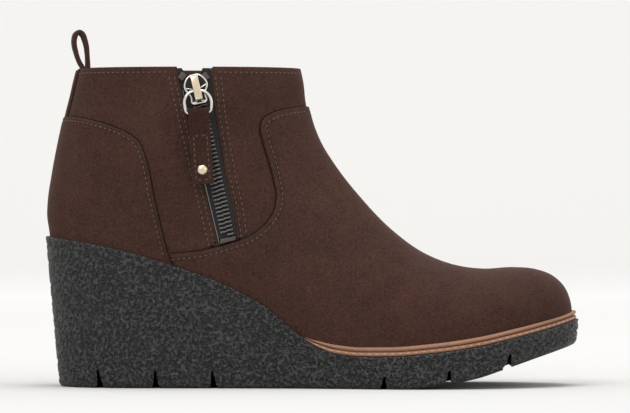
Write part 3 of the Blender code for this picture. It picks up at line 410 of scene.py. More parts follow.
def half_width(x, z):
    """Centre line and half-width of the last's form at places in the side view."""
    low, high = np.zeros_like(x), np.full_like(x, 2.0)
    for _ in range(40):
        middle = (low + high) / 2
        _, ax, az, bx, bz = fan_line(middle)
        ahead = (bx - ax) * (z - az) - (bz - az) * (x - ax) < 0
        low, high = np.where(ahead, low, middle), np.where(ahead, middle, high)
    under = (low + high) / 2
    along, ax, az, bx, bz = fan_line(under)
    length = np.maximum((bx - ax) ** 2 + (bz - az) ** 2, 1e-12)
    up = ((x - ax) * (bx - ax) + (z - az) * (bz - az)) / length
    share = np.clip((along - HEEL_ALONG) / (TOE_ALONG - HEEL_ALONG), 0, 1)
    body = smooth(FAN, "half_width", under) * UPPER_WIDTH / 2 * round_end(1 - share, TOE_ROUND)
    foot = np.where(under < 1, foot_outline(along), 0.0)
    widest = smooth(FAN, "widest", under)
    power = smooth(FAN, "power", under)
    over = np.clip((up - widest) / (1 - widest), 0, 1)
    below = np.clip((widest - up) / widest, 0, 1)
    tuck = 1 - np.clip(foot / np.maximum(body, 1e-9), 0, 1) ** HEEL_POWER
    shape = np.where(
        up > widest,
        (1 - over**power) ** (1 / power),
        (1 - tuck * below**HEEL_POWER) ** (1 / HEEL_POWER),
    )
    return plan_centre(share) * np.clip(1.6 - under, 0, 1), body * shape


def side_grid(columns, rows):
    """Places in the side view, rows from the featherline to the collar."""
    t = np.linspace(0, 1, columns + 1)
    across = 0.45 * t + 0.55 * (1 - np.cos(math.pi * t)) / 2
    rise = np.linspace(0, 1, rows + 1)[:, None] ** 1.25
    along = HEEL_ALONG + (TOE_ALONG - HEEL_ALONG) * across
    bottom = np.stack([x_at(along), feather(along) - TUCK])[:, None, :]
    back = np.stack(BACK_LINE.at(rise))
    front = np.stack(RIDGE_LINE.at(rise))
    top = back[:, -1:] + (front[:, -1:] - back[:, -1:]) * across
    sides = (1 - across) * back + across * front
    ends = (1 - rise) * bottom + rise * top
    corners = (1 - rise) * ((1 - across) * back[:, :1] + across * front[:, :1])
    corners = corners + rise * ((1 - across) * back[:, -1:] + across * front[:, -1:])
    return sides + ends - corners


def skin(along, height, lift=0.0):
    """Point over the outer side of the upper and the outward direction there."""
    x, z = float(x_at(along)), height * COLLAR_HEIGHT
    step = 0.001
    xs = np.array([x, x - step, x + step, x, x])
    zs = np.array([z, z, z, z - step, z + step])
    centre, half = half_width(xs, zs)
    y = centre - half - Y_SHIFT
    slope_x, slope_z = (y[2] - y[1]) / (2 * step), (y[4] - y[3]) / (2 * step)
    normal = Vector((slope_x, -1.0, slope_z)).normalized()
    return Vector((x, y[0], z)) + normal * lift, normal


def side_points(rows):
    return [(float(x_at(row.along)), row.height * COLLAR_HEIGHT) for row in rows]


def side_curve(rows, count):
    return np.column_stack(Path(side_points(rows)).at(np.linspace(0, 1, count)))


def line_distance(x, z, line):
    """Distance of places to a side-view line, and the nearest points on it."""
    best = np.full(x.shape, 1e9)
    near_x, near_z = np.zeros_like(x), np.zeros_like(z)
    for (ax, az), (bx, bz) in zip(line[:-1], line[1:]):
        length = (bx - ax) ** 2 + (bz - az) ** 2
        t = np.clip(((x - ax) * (bx - ax) + (z - az) * (bz - az)) / length, 0, 1)
        px, pz = ax + t * (bx - ax), az + t * (bz - az)
        away = np.hypot(x - px, z - pz)
        closer = away < best
        best = np.where(closer, away, best)
        near_x, near_z = np.where(closer, px, near_x), np.where(closer, pz, near_z)
    return best, near_x, near_z


def inside_outline(x, z, outline):
    """True for places inside a closed side-view outline."""
    count = np.zeros(x.shape, int)
    for (ax, az), (bx, bz) in zip(outline, [*outline[1:], outline[0]]):
        if az == bz:
            continue
        crosses = (az > z) != (bz > z)
        count += crosses & (x < ax + (z - az) * (bx - ax) / (bz - az))
    return count % 2 == 1


def beside(mask):
    """Places that touch the mask, corners included."""
    wide = mask.copy()
    wide[1:] |= mask[:-1]
    wide[:-1] |= mask[1:]
    side = wide.copy()
    side[:, 1:] |= wide[:, :-1]
    side[:, :-1] |= wide[:, 1:]
    return side


def fit_edge(x, z, inside, line, outer_step, inner_step, only_at=True):
    """Moves the grid's places along an edge onto it, a step outside and a step inside."""
    _, near_x, near_z = line_distance(x, z, line)
    away_x, away_z = x - near_x, z - near_z
    size = np.maximum(np.hypot(away_x, away_z), 1e-7)
    for ring, step in ((~inside & beside(inside), outer_step), (inside & beside(~inside), inner_step)):
        ring = ring & only_at
        x[ring] = (near_x + away_x / size * step)[ring]
        z[ring] = (near_z + away_z / size * step)[ring]


# Modelling helpers


def take_new(name):
    """The primitive just added, renamed, with nothing else selected."""
    obj = bpy.context.active_object
    obj.name = name
    obj.data.name = name
    return obj


def only(obj):
    bpy.ops.object.select_all(action="DESELECT")
    obj.select_set(True)
    bpy.context.view_layer.objects.active = obj


def freeze(obj):
    """Applies the piece's modifiers and its place."""
    only(obj)
    if obj.type != "MESH":
        bpy.ops.object.convert(target="MESH")
    for modifier in list(obj.modifiers):
        bpy.ops.object.modifier_apply(modifier=modifier.name)
    bpy.ops.object.transform_apply(location=True, rotation=True, scale=True)
    return obj


def smooth_shade(obj, angle=40):
    only(obj)
    bpy.ops.object.shade_smooth_by_angle(angle=math.radians(angle))


def close_up(obj, distance=1e-5):
    """Merges doubled points and turns the faces outwards."""
    only(obj)
    bpy.ops.object.mode_set(mode="EDIT")
    bpy.ops.mesh.select_all(action="SELECT")
    bpy.ops.mesh.remove_doubles(threshold=distance)
    bpy.ops.mesh.normals_make_consistent(inside=False)
    bpy.ops.object.mode_set(mode="OBJECT")


@contextmanager
def edited(obj):
    """The piece's mesh, open for changes and written back after them."""
    shape = bmesh.new()
    shape.from_mesh(obj.data)
    yield shape
    shape.to_mesh(obj.data)
    shape.free()


def grid_piece(name, points, closed=True):
    """A grid bent onto rows and columns of points; closed joins its two ends."""
    count, columns = points.shape[:2]
    if closed:
        points = np.concatenate([points, points[:, :1]], axis=1)
        columns += 1
    bpy.ops.object.select_all(action="DESELECT")
    bpy.ops.mesh.primitive_grid_add(x_subdivisions=columns - 1, y_subdivisions=count - 1, size=1.0)
    obj = take_new(name)
    obj.data.vertices.foreach_set("co", np.ascontiguousarray(points, np.float32).ravel())
    if closed:
        with edited(obj) as shape:
            shape.verts.ensure_lookup_table()
            ends = [shape.verts[r * columns + c] for r in range(count) for c in (0, columns - 1)]
            bmesh.ops.remove_doubles(shape, verts=ends, dist=1e-7)
    obj.data.update()
    return obj


def fill_ends(obj):
    """Closes open ends and turns all faces outwards."""
    with edited(obj) as shape:
        bmesh.ops.holes_fill(shape, edges=[e for e in shape.edges if e.is_boundary], sides=0)
        bmesh.ops.triangulate(shape, faces=[f for f in shape.faces if len(f.verts) > 24])
        bmesh.ops.recalc_face_normals(shape, faces=shape.faces)
    return obj


def cap_ends(obj):
    """Fills each open edge loop with one face."""
    only(obj)
    bpy.ops.object.mode_set(mode="EDIT")
    bpy.ops.mesh.select_mode(type="EDGE")
    bpy.ops.mesh.select_all(action="DESELECT")
    bpy.ops.mesh.select_non_manifold(extend=False)
    bpy.ops.mesh.edge_face_add()
    bpy.ops.object.mode_set(mode="OBJECT")


def frame_matrix(origin, across, up, out):
    """Local axes: X across the zip, Y up it and Z away from the boot."""
    matrix = Matrix((across, up, out)).transposed().to_4x4()
    matrix.translation = origin
    return matrix


# Turns a slab so that its outline is in local Y and Z, and its thickness along X
SIDEWAYS = Matrix(((0, 0, 1, 0), (1, 0, 0, 0), (0, 1, 0, 0), (0, 0, 0, 1)))


def curve_piece(name, lines, closed, **settings):
    """A curve through lines of flat or spatial points."""
    curve = bpy.data.curves.new(name, "CURVE")
    for key, value in settings.items():
        setattr(curve, key, value)
    for points in lines:
        spline = curve.splines.new("POLY")
        spline.points.add(len(points) - 1)
        for point, place in zip(spline.points, points):
            point.co = (*(*place, 0)[:3], 1)
        spline.use_cyclic_u = closed
    obj = bpy.data.objects.new(name, curve)
    bpy.context.scene.collection.objects.link(obj)
    return obj


def slab(name, outline, low, high, matrix, bevel, holes=()):
    """A flat outline in local X and Y, from low to high along Z, with its edges rounded."""
    obj = curve_piece(name, (outline, *holes), True, dimensions="2D", fill_mode="BOTH",
                      extrude=(high - low) / 2 - bevel, bevel_depth=bevel, bevel_resolution=2,
                      offset=-bevel)
    obj.matrix_world = matrix @ Matrix.Translation((0, 0, (high + low) / 2))
    bpy.context.view_layer.update()
    freeze(obj)
    close_up(obj)
    smooth_shade(obj)
    return obj


def wire(name, points, radius, matrix=Matrix(), closed=False):
    """Round wire through points."""
    obj = curve_piece(name, [points], closed, dimensions="3D", bevel_depth=radius, bevel_resolution=3,
                      use_fill_caps=not closed)
    obj.matrix_world = matrix
    bpy.context.view_layer.update()
    freeze(obj)
    close_up(obj)
    smooth_shade(obj, 60)
    return obj


def join(name, *objects):
    only(objects[0])
    for obj in objects:
        obj.select_set(True)
    bpy.ops.object.join()
    return take_new(name)


def finish_piece(obj, body, slot, material, *nodes):
    """Gives a piece its material and its body, and hides the solids it stands for; the slot is not used."""
    obj.data.materials.clear()
    obj.data.materials.append(material)
    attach(obj, body)
    if nodes:
        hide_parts(*nodes)
    return obj


def copies(name, template, frames):
    """One mesh of a template repeated at each frame, a 4 x 4 matrix a copy."""
    source = template.data
    points = np.empty(len(source.vertices) * 3)
    source.vertices.foreach_get("co", points)
    points = np.c_[points.reshape(-1, 3), np.ones(len(source.vertices))]
    faces = [tuple(face.vertices) for face in source.polygons]
    placed = np.concatenate([(points @ np.asarray(m).T)[:, :3] for m in frames])
    count = len(points)
    repeated = [tuple(v + n * count for v in face) for n in range(len(frames)) for face in faces]
    mesh = bpy.data.meshes.new(name)
    mesh.from_pydata(placed.tolist(), [], repeated)
    obj = bpy.data.objects.new(name, mesh)
    bpy.context.scene.collection.objects.link(obj)
    bpy.data.objects.remove(template)
    smooth_shade(obj, 60)
    return obj


# Materials


class Socket:
    """A shader value; Python's operators on it add Math nodes."""

    def __init__(self, tree, socket):
        self.tree, self.socket = tree, socket

    def math(self, operation, *others, clamp=False):
        node = self.tree.nodes.new("ShaderNodeMath")
        node.operation = operation
        node.use_clamp = clamp
        for slot, value in zip(node.inputs, others):
            if isinstance(value, Socket):
                self.tree.links.new(value.socket, slot)
            else:
                slot.default_value = value
        return Socket(self.tree, node.outputs[0])

    def __add__(self, other):
        return self.math("ADD", self, other)

    def __sub__(self, other):
        return self.math("SUBTRACT", self, other)

    def __mul__(self, other):
        return self.math("MULTIPLY", self, other)

    def clamp(self):
        return self.math("ADD", self, 0.0, clamp=True)


class Finish:
    """A Principled material that is built up node by node."""

    def __init__(self, name, **constants):
        self.material = bpy.data.materials.new(name)
        self.material.use_nodes = True
        self.tree = self.material.node_tree
        self.shader = self.tree.nodes["Principled BSDF"]
        for socket, value in constants.items():
            self.shader.inputs[socket.replace("_", " ")].default_value = value
        self.place = self.node("ShaderNodeTexCoord", out="Object")

    def node(self, kind, out=0, settings=(), **inputs):
        """Adds a node, sets it, fills its sockets and gives one output."""
        node = self.tree.nodes.new(kind)
        for key, value in dict(settings).items():
            setattr(node, key, value)
        for key, value in inputs.items():
            self.fill(node.inputs[key.replace("_", " ")], value)
        return Socket(self.tree, node.outputs[out])

    def fill(self, slot, value):
        if isinstance(value, Socket):
            self.tree.links.new(value.socket, slot)
        else:
            slot.default_value = value

    def noise(self, scale, detail=2.0, roughness=0.5):
        return self.node("ShaderNodeTexNoise", Vector=self.place, Scale=scale,
                         Detail=detail, Roughness=roughness)

    def ramp(self, value, stops):
        """Greys between the stops' positions."""
        node = self.tree.nodes.new("ShaderNodeValToRGB")
        elements = node.color_ramp.elements
        while len(elements) < len(stops):
            elements.new(0.5)
        for element, (position, colour) in zip(elements, stops):
            element.position = position
            element.color = (colour, colour, colour, 1.0)
        self.tree.links.new(value.socket, node.inputs[0])
        return Socket(self.tree, node.outputs[0])

    def mix(self, factor, first, second):
        node = self.tree.nodes.new("ShaderNodeMix")
        node.data_type = "RGBA"
        self.fill(node.inputs["Factor"], factor)
        for slot, value in ((node.inputs[6], first), (node.inputs[7], second)):
            self.fill(slot, value if isinstance(value, Socket) else (*value, 1.0))
        return Socket(self.tree, node.outputs[2])

    def bump(self, height, depth, strength=1.0, under=None):
        node = self.tree.nodes.new("ShaderNodeBump")
        node.inputs["Strength"].default_value = strength
        node.inputs["Distance"].default_value = depth
        self.tree.links.new(height.socket, node.inputs["Height"])
        if under:
            self.tree.links.new(under.socket, node.inputs["Normal"])
        return Socket(self.tree, node.outputs[0])

    def attribute(self, name):
        node = self.tree.nodes.new("ShaderNodeAttribute")
        node.attribute_name = name
        return Socket(self.tree, node.outputs["Fac"])

    def feed(self, **sockets):
        for key, value in sockets.items():
            self.fill(self.shader.inputs[key.replace("_", " ")], value)
        return self.material


def suede(name, dark, light):
    """Napped leather: brushed patches, fine fibres and a soft sheen at the edges."""
    reds = [(r * 1.12, g * 0.90, b * 0.96) for r, g, b in (dark, light)]
    finish = Finish(name, Sheen_Weight=0.10, Sheen_Roughness=0.4, Specular_IOR_Level=0.12)
    finish.shader.inputs["Sheen Tint"].default_value = (0.62, 0.44, 0.36, 1.0)
    patches = finish.noise(38.0, 3.0, 0.55)
    brushed = finish.noise(160.0, 3.0, 0.6)
    fibres = finish.noise(980.0, 2.0, 0.6)
    tone = (patches * 0.20 + brushed * 0.20 + fibres * 0.60 - 0.5) * 2.3 + 0.5
    colour = finish.mix(tone.clamp(), dark, light)
    warm = ((finish.noise(21.0, 2.0, 0.5) - 0.45) * 3.0).clamp()
    colour = finish.mix(warm * 0.45, colour, finish.mix(tone.clamp(), *reds))
    # Painted shade: the suede is darkened towards near-black along the stitch troughs, by a per-point
    # attribute of the upper
    shade = finish.attribute("crevice_shade")
    colour = finish.mix((shade * 0.85).clamp(), colour, tuple(c * 0.22 for c in dark))
    nap = fibres * 0.6 + finish.noise(620.0, 2.0, 0.6) * 0.4
    return finish.feed(
        Base_Color=colour,
        Roughness=brushed * 0.12 + 0.84,
        Normal=finish.bump(nap, 0.00022, 0.55),
    )


# Crepe greys, from the painted shade low between the crumbs to the painted highlight on their crests
CREPE_SHADE_TO_HIGHLIGHT = [(0.0, 0.0028), (0.30, 0.0085), (0.62, 0.024), (1.0, 0.037)]


def crepe():
    """Dark crepe rubber, with painted shade between its crumbs and a painted highlight on their tops."""
    finish = Finish("crepe_rubber", Specular_IOR_Level=0.38)
    crumb = finish.attribute("crumb")
    grain = finish.noise(900.0, 2.0, 0.6)
    wide = finish.noise(45.0, 2.0, 0.5)
    small = ((finish.noise(740.0, 1.0, 0.5) - 0.41) * 6.0).clamp()
    # Mostly the crumbs' relief turned into painted shade and highlight, with a little random grain
    tone = (crumb * 0.25 + small * 0.70 + grain * 0.2 - 0.10).clamp()
    colour = finish.ramp(tone, CREPE_SHADE_TO_HIGHLIGHT)
    relief = finish.bump(small, 0.00080, 1.0)
    return finish.feed(
        Base_Color=colour,
        Roughness=wide * 0.14 + 0.42,
        Normal=finish.bump(grain, 0.00010, 0.4, relief),
    )


def tan_leather(name):
    finish = Finish(name, Specular_IOR_Level=0.4)
    streaks = finish.noise(70.0, 3.0, 0.6)
    pores = finish.noise(1400.0, 2.0, 0.6)
    tone = (streaks * 0.7 + pores * 0.3 - 0.5) * 1.6 + 0.5
    colour = finish.mix(tone.clamp(), (0.205, 0.100, 0.056), (0.335, 0.175, 0.108))
    return finish.feed(Base_Color=colour, Roughness=pores * 0.2 + 0.45,
                       Normal=finish.bump(pores, 0.00008, 0.4))


def thread(name, dark, light):
    """Twisted sewing thread."""
    finish = Finish(name, Specular_IOR_Level=0.3, Sheen_Weight=0.2)
    twist = finish.noise(2600.0, 1.0, 0.5)
    return finish.feed(Base_Color=finish.mix(twist, dark, light), Roughness=twist * 0.2 + 0.6)


def woven(name, dark, light, pitch):
    """Plain weave of crossing ribs."""
    finish = Finish(name, Specular_IOR_Level=0.25)
    ribs = []
    for direction in ("X", "Z"):
        ribs.append(finish.node("ShaderNodeTexWave", 1, {"bands_direction": direction}, Vector=finish.place,
                                Scale=0.314 / pitch, Distortion=0.4, Detail=1.0))
    weave = ribs[0] * ribs[1]
    fuzz = finish.noise(1200.0, 2.0, 0.6)
    tone = (weave * 0.6 + fuzz * 0.4).clamp()
    return finish.feed(Base_Color=finish.mix(tone, dark, light), Roughness=fuzz * 0.15 + 0.75,
                       Normal=finish.bump(weave, 0.00015, 0.6))


def metal(name, colour, roughness, wear):
    """Plated metal with fine marks."""
    finish = Finish(name, Metallic=1.0)
    marks = finish.noise(900.0, 3.0, 0.6)
    dull = finish.noise(180.0, 2.0, 0.5)
    shade = tuple(c * 0.72 for c in colour)
    return finish.feed(
        Base_Color=finish.mix(dull * 0.5 + marks * 0.4, shade, colour),
        Roughness=marks * wear + roughness,
        Normal=finish.bump(marks, 0.00003, 0.25),
    )


SUEDE = suede("brown_suede", (0.0210, 0.0088, 0.0062), (0.067, 0.0325, 0.0240))
SUEDE_TAB = suede("brown_suede_tab", (0.0160, 0.0065, 0.0047), (0.052, 0.0230, 0.0175))
CREPE = crepe()
WELT = tan_leather("tan_welt")
THREAD = thread("brown_thread", (0.045, 0.026, 0.019), (0.115, 0.074, 0.056))
# Near-black suede for cut edges: their own dark colour and a painted shadow line beside them
CUT_EDGE_AND_SHADOW = suede("suede_cut_edge_and_shadow", (0.006, 0.0030, 0.0022), (0.013, 0.0062, 0.0048))
# Near-black for the needle holes between stitches: painted shade in them
HOLE_SHADE = thread("stitch_hole_shade", (0.006, 0.003, 0.002), (0.010, 0.005, 0.004))
WELT_THREAD = thread("tan_thread", (0.32, 0.185, 0.115), (0.50, 0.31, 0.20))
LINING = woven("lining_cloth", (0.035, 0.028, 0.025), (0.085, 0.070, 0.062), 0.0009)
TAPE = woven("zip_tape", (0.008, 0.008, 0.008), (0.040, 0.038, 0.037), 0.0006)
FOOTBED = tan_leather("footbed")
GUNMETAL = metal("gunmetal", (0.14, 0.135, 0.13), 0.26, 0.25)
DARK_METAL = metal("slider_recess", (0.035, 0.033, 0.031), 0.35, 0.2)
STOP_METAL = metal("stop_metal", (0.115, 0.098, 0.092), 0.42, 0.2)
# Glossy grey standing for the shine along the slot's back edge: a painted highlight
SLOT_EDGE_SHINE = metal("slot_edge_shine", (0.20, 0.195, 0.19), 0.28, 0.2)
PALE_GOLD = metal("pale_gold", (0.86, 0.74, 0.54), 0.18, 0.16)
NICKEL = metal("bright_nickel", (0.80, 0.77, 0.72), 0.14, 0.16)


# Upper


def vamp_line():
    return np.array([*side_curve(VAMP_EDGE, 90), *side_points(VAMP_TAIL)])


def counter_line():
    return side_curve(COUNTER_EDGE, 80)


def overlay_outlines():
    """Edges of the two overlays, each with a closed outline of the area it covers."""
    vamp, counter = vamp_line(), counter_line()
    vamp_area = [*map(tuple, vamp), (vamp[-1][0], BELOW), (FAR, BELOW), (FAR, vamp[0][1])]
    counter_area = [*map(tuple, counter), (counter[-1][0], BELOW), (-FAR, BELOW), (-FAR, counter[0][1])]
    return (vamp, vamp_area), (counter, counter_area)


def zip_edge(column, heights, inset=0.0):
    """Side-view places along one of the zip's lines, carried on below its foot."""
    heights = np.asarray(heights, float)
    low = ZIP[-1].height
    xs = x_at(smooth(ZIP[::-1], column, heights))
    slope = (x_at(getattr(ZIP[-1], column)) - x_at(getattr(ZIP[-2], column))) / (low - ZIP[-2].height)
    return np.column_stack([xs + np.minimum(heights - low, 0) * slope + inset, heights * COLLAR_HEIGHT])


def slot_outline():
    heights = np.linspace(ZIP_BOTTOM - 0.02, ZIP[0].height, 24)
    back, front = zip_edge("back", heights), zip_edge("front", heights)
    return np.concatenate([back[::-1], front])


def offset_line(line, distance):
    """A side-view line moved to its left by a distance."""
    step = np.gradient(line, axis=0)
    left = np.column_stack([-step[:, 1], step[:, 0]]) / np.maximum(np.hypot(*step.T), 1e-9)[:, None]
    return line + left * distance


def stitch_lines():
    """Side-view lines of the stitching on both overlays."""
    vamp = offset_line(side_curve(VAMP_EDGE, 90), VAMP_STITCH)
    counter = offset_line(side_curve(COUNTER_EDGE, 80), -COUNTER_STITCH)
    return vamp, counter


def ease(value):
    t = np.clip(value, 0, 1)
    return t * t * (3 - 2 * t)


# Soft creases where the foot bends: middle in the side view, direction, length, width, depth
Crease = namedtuple("Crease", "along height turn length width depth")
CREASES = table(Crease, [
    (0.520, 0.60, 125, 0.030, 0.0070, 0.0006), (0.560, 0.47, 130, 0.034, 0.0080, 0.0007),
    (0.470, 0.50, 110, 0.030, 0.0090, 0.0005), (0.620, 0.33, 140, 0.028, 0.0070, 0.0005),
    (0.120, 0.70, 70, 0.022, 0.0080, 0.0004), (0.360, 0.55, 95, 0.020, 0.0070, 0.0004),
])


def crease_depth(x, z):
    """Total of the soft troughs at places in the side view."""
    total = np.zeros_like(x)
    for crease in CREASES:
        dx, dz = x - x_at(crease.along), z - crease.height * COLLAR_HEIGHT
        angle = math.radians(crease.turn)
        run = (dx * math.cos(angle) + dz * math.sin(angle)) / crease.length
        side = (-dx * math.sin(angle) + dz * math.cos(angle)) / crease.width
        total += crease.depth * np.exp(-run**2 - side**2)
    return total


def upper_side(columns, rows, with_slot):
    """One side of the upper's skin: places, lifts and what the zip cuts away."""
    x, z = side_grid(columns, rows)
    even_x, even_z = x.copy(), z.copy()
    lift, crevice_shade = np.zeros_like(x), np.zeros_like(x)
    for line, area in overlay_outlines():
        covered = inside_outline(x, z, area)
        fit_edge(x, z, covered, line, 0.00005, 0.00028)
        away = line_distance(x, z, line)[0]
        rounded = np.sqrt(1 - (1 - np.clip(away / EDGE_ROUND, 0, 1)) ** 2)
        lift = np.where(covered, OVERLAY * rounded, lift)
    cut = np.zeros(x.shape, bool)
    if with_slot:
        slot = slot_outline()
        covered = inside_outline(x, z, overlay_outlines()[0][1])
        cut = inside_outline(x, z, [tuple(p) for p in slot]) & ~covered
        fit_edge(x, z, cut | covered, slot, 0.0, 0.0004, only_at=~covered & beside(cut))
    for line in stitch_lines():
        away = line_distance(x, z, line)[0]
        lift = lift - STITCH_TROUGH * np.exp(-((away / STITCH_TROUGH_WIDTH) ** 2))
        # Painted shade along each stitch trough, kept per point for the suede's colour
        crevice_shade = np.maximum(crevice_shade, 0.3 * np.exp(-((away / STITCH_TROUGH_WIDTH) ** 2)))
    return even_x, even_z, x, z, lift, cut, crevice_shade


def side_skin(side, x, z):
    centre, half = half_width(x, z)
    half[:, 0] = half[:, -1] = 0
    return np.stack([x, centre + side * half - Y_SHIFT, z], axis=-1)


def skin_rings(columns, rows):
    """The plain skin as closed rings, and its outward directions."""
    x, z = side_grid(columns, rows)
    rings = round_rings(side_skin(-1, x, z), side_skin(1, x, z))
    return rings, ring_normals(rings)


def ring_normals(rings):
    around = np.roll(rings, -1, axis=1) - np.roll(rings, 1, axis=1)
    upward = np.gradient(rings, axis=0)
    normal = np.cross(around, upward)
    return normal / np.maximum(np.linalg.norm(normal, axis=-1, keepdims=True), 1e-12)


def round_rings(outer, inner):
    """Joins an outer and an inner side into rings that run round the boot."""
    return np.concatenate([outer, inner[:, -2:0:-1]], axis=1)


def upper_rings(columns, rows):
    """The upper's skin as closed rings, with its outward directions and the zip's cut."""
    even, moved, lifts, cuts, crevice_shades = [], [], [], [], []
    for side, with_slot in ((-1, True), (1, False)):
        even_x, even_z, x, z, lift, cut, crevice_shade = upper_side(columns, rows, with_slot)
        lift = lift - crease_depth(x, z) * (1.0 if side < 0 else 0.8)
        even.append(side_skin(side, even_x, even_z))
        moved.append(side_skin(side, x, z))
        lifts.append(lift)
        cuts.append(cut)
        crevice_shades.append(crevice_shade)
    normal = ring_normals(round_rings(*even))
    return round_rings(*moved), normal, round_rings(*lifts), round_rings(*cuts), round_rings(*crevice_shades)


# The collar's turned edge: rise and way inwards
COLLAR_TURN = [(0.0004, 0.0002), (0.0006, 0.0008), (0.0004, 0.0015), (0.0, 0.0019), (-0.0025, 0.0021)]


def make_upper():
    """Suede upper: rounded overlay edges, a turned collar and the zip's slot."""
    rings, normal, lift, cut, crevice_shade = upper_rings(UPPER_COLUMNS, UPPER_ROWS)
    skin_points = rings + normal * lift[..., None]
    top, out = skin_points[-1], normal[-1]
    up = np.array([0.0, 0.0, 1.0])
    turned = [top + up * rise - out * inward for rise, inward in COLLAR_TURN]
    points = np.concatenate([skin_points, np.array(turned)])
    cut = np.concatenate([cut, np.repeat(cut[-1:], len(turned), axis=0)])
    crevice_shade = np.concatenate([crevice_shade, np.repeat(crevice_shade[-1:], len(turned), axis=0)])
    obj = grid_piece("upper_suede", points)
    # The painted shade of the stitch troughs goes to the suede as a point attribute
    dark = obj.data.attributes.new("crevice_shade", "FLOAT", "POINT")
    dark.data.foreach_set("value", crevice_shade.ravel().astype(np.float32))
    lost = set(np.flatnonzero(cut.ravel()).tolist())
    slot_low, slot_high = (x_at(share) for share in SLOT_SHARES)

    def by_slot(vert):
        x, y, z = vert.co
        return slot_low < x < slot_high and y < OUTER_Y and z > 0.9 * ZIP_BOTTOM * COLLAR_HEIGHT

    with edited(obj) as shape:
        bmesh.ops.delete(shape, geom=[v for v in shape.verts if v.index in lost], context="VERTS")
        rim = [e for e in shape.edges if e.is_boundary and all(map(by_slot, e.verts))]
        for v in bmesh.ops.extrude_edge_only(shape, edges=rim)["geom"]:
            if isinstance(v, bmesh.types.BMVert):
                direction = skin(v.co.x / BOOT_LENGTH + 0.5, min(v.co.z / COLLAR_HEIGHT, 0.995))[1]
                v.co -= direction * TURN_DEPTH
        bmesh.ops.recalc_face_normals(shape, faces=shape.faces)
    smooth_shade(obj, 60)
    return finish_piece(obj, "boot", "brown_suede", SUEDE, "upper")


def make_edges():
    """Dark lines at the foot of the overlays, their cut edges with a painted shadow line, and folded edges
    along the zip's slot.
    """
    lines = []
    for line, side_of_edge in ((side_curve(VAMP_EDGE, 120), 1), (side_curve(COUNTER_EDGE, 100), -1)):
        line = offset_line(line, -side_of_edge * CUT_EDGE_OUT)
        low = feather(line[:, 0] / BOOT_LENGTH + 0.5)
        half = half_width(line[:, 0], line[:, 1])[1]
        line = line[(line[:, 1] > low) & (half > 0.003)]
        for side in (-1, 1):
            lines.append(wire("edge", surface_line(line, side, 0.0001)[0], CUT_EDGE_RADIUS))
    finish_piece(join("overlay_cut_edges_and_shadow", *lines), "boot", "brown_suede", CUT_EDGE_AND_SHADOW)
    folds = []
    for column, side in (("back", -1), ("front", 1)):
        line = zip_edge(column, np.linspace(0.994, 0.436, 70), side * 0.0003)
        line = line[~inside_outline(line[:, 0], line[:, 1], overlay_outlines()[0][1])]
        folds.append(wire("fold", surface_line(line, -1, -FOLD_DEPTH)[0], FOLD_RADIUS))
    finish_piece(join("slot_folds", *folds), "boot", "brown_suede", SUEDE)


def make_lining():
    """Cloth lining inside the wall, from under the collar down to the footbed."""
    rings, normal = skin_rings(90, 34)
    inner, outer = rings - normal * (WALL + LINING_BACK), rings - normal * (WALL - LINING_FRONT)
    for layer in (inner, outer):
        layer[-1, :, 2] -= LINING_DROP
    points = np.concatenate([outer, inner[::-1]])
    obj = grid_piece("lining", points)
    slot = [tuple(p) for p in slot_outline()]
    with edited(obj) as shape:
        lost = []
        for face in shape.faces:
            x, y, z = face.calc_center_median()
            if y < LINING_OUTER_Y and inside_outline(np.array([x]), np.array([z]), slot)[0]:
                lost.append(face)
        bmesh.ops.delete(shape, geom=lost, context="FACES")
        bmesh.ops.recalc_face_normals(shape, faces=shape.faces)
    smooth_shade(obj, 60)
    return finish_piece(obj, "boot", "footbed", LINING)


# Sole, welt and insole


def sole_rings(columns, rows):
    """Rings of the sole's side from its underside to its rim."""
    share = (1 - np.cos(np.linspace(0, math.pi, columns + 1))) / 2
    share = 0.35 * share + 0.65 * np.linspace(0, 1, columns + 1)
    quarter = np.linspace(0, math.pi / 2, 5)
    edge, rim = SOLE_EDGE_RADIUS, SOLE_RIM_RADIUS
    levels = [(edge * (1 - math.cos(a)), 0.0, edge * (1 - math.sin(a))) for a in quarter]
    levels += [(0.0, f, 0.0) for f in np.linspace(0, 1, rows + 2)[1:-1]]
    levels += [(-rim * (1 - math.sin(a)), 1.0, rim * (1 - math.cos(a))) for a in quarter]
    left, right = [], []
    for lift, rise, inset in levels:
        bottom_x = HEEL_RAKE + (BOOT_LENGTH - HEEL_RAKE - TOE_UNDERCUT) * share
        x = bottom_x * (1 - rise) + BOOT_LENGTH * share * rise
        x = x + inset * np.cos(math.pi * share)
        along = x / BOOT_LENGTH
        between = 0 < rise < 1
        low = sole_bottom(along) + (edge if between else 0.0)
        top = sole_top(along) - (rim if between else 0.0)
        z = low * (1 - rise) + top * rise + lift
        taper = HEEL_TAPER * (1 - rise) * np.clip(1 - share / 0.6, 0, 1)
        body = np.maximum(smooth(PLAN, "half_width", share) * BALL_WIDTH / 2, 1e-6)
        half = plan_half(share) * (1 - (taper + inset) / body)
        centre = plan_centre(share)
        left.append(np.column_stack([x - BOOT_LENGTH / 2, centre - half - Y_SHIFT, z]))
        right.append(np.column_stack([x - BOOT_LENGTH / 2, centre + half - Y_SHIFT, z]))
    return round_rings(np.array(left), np.array(right))


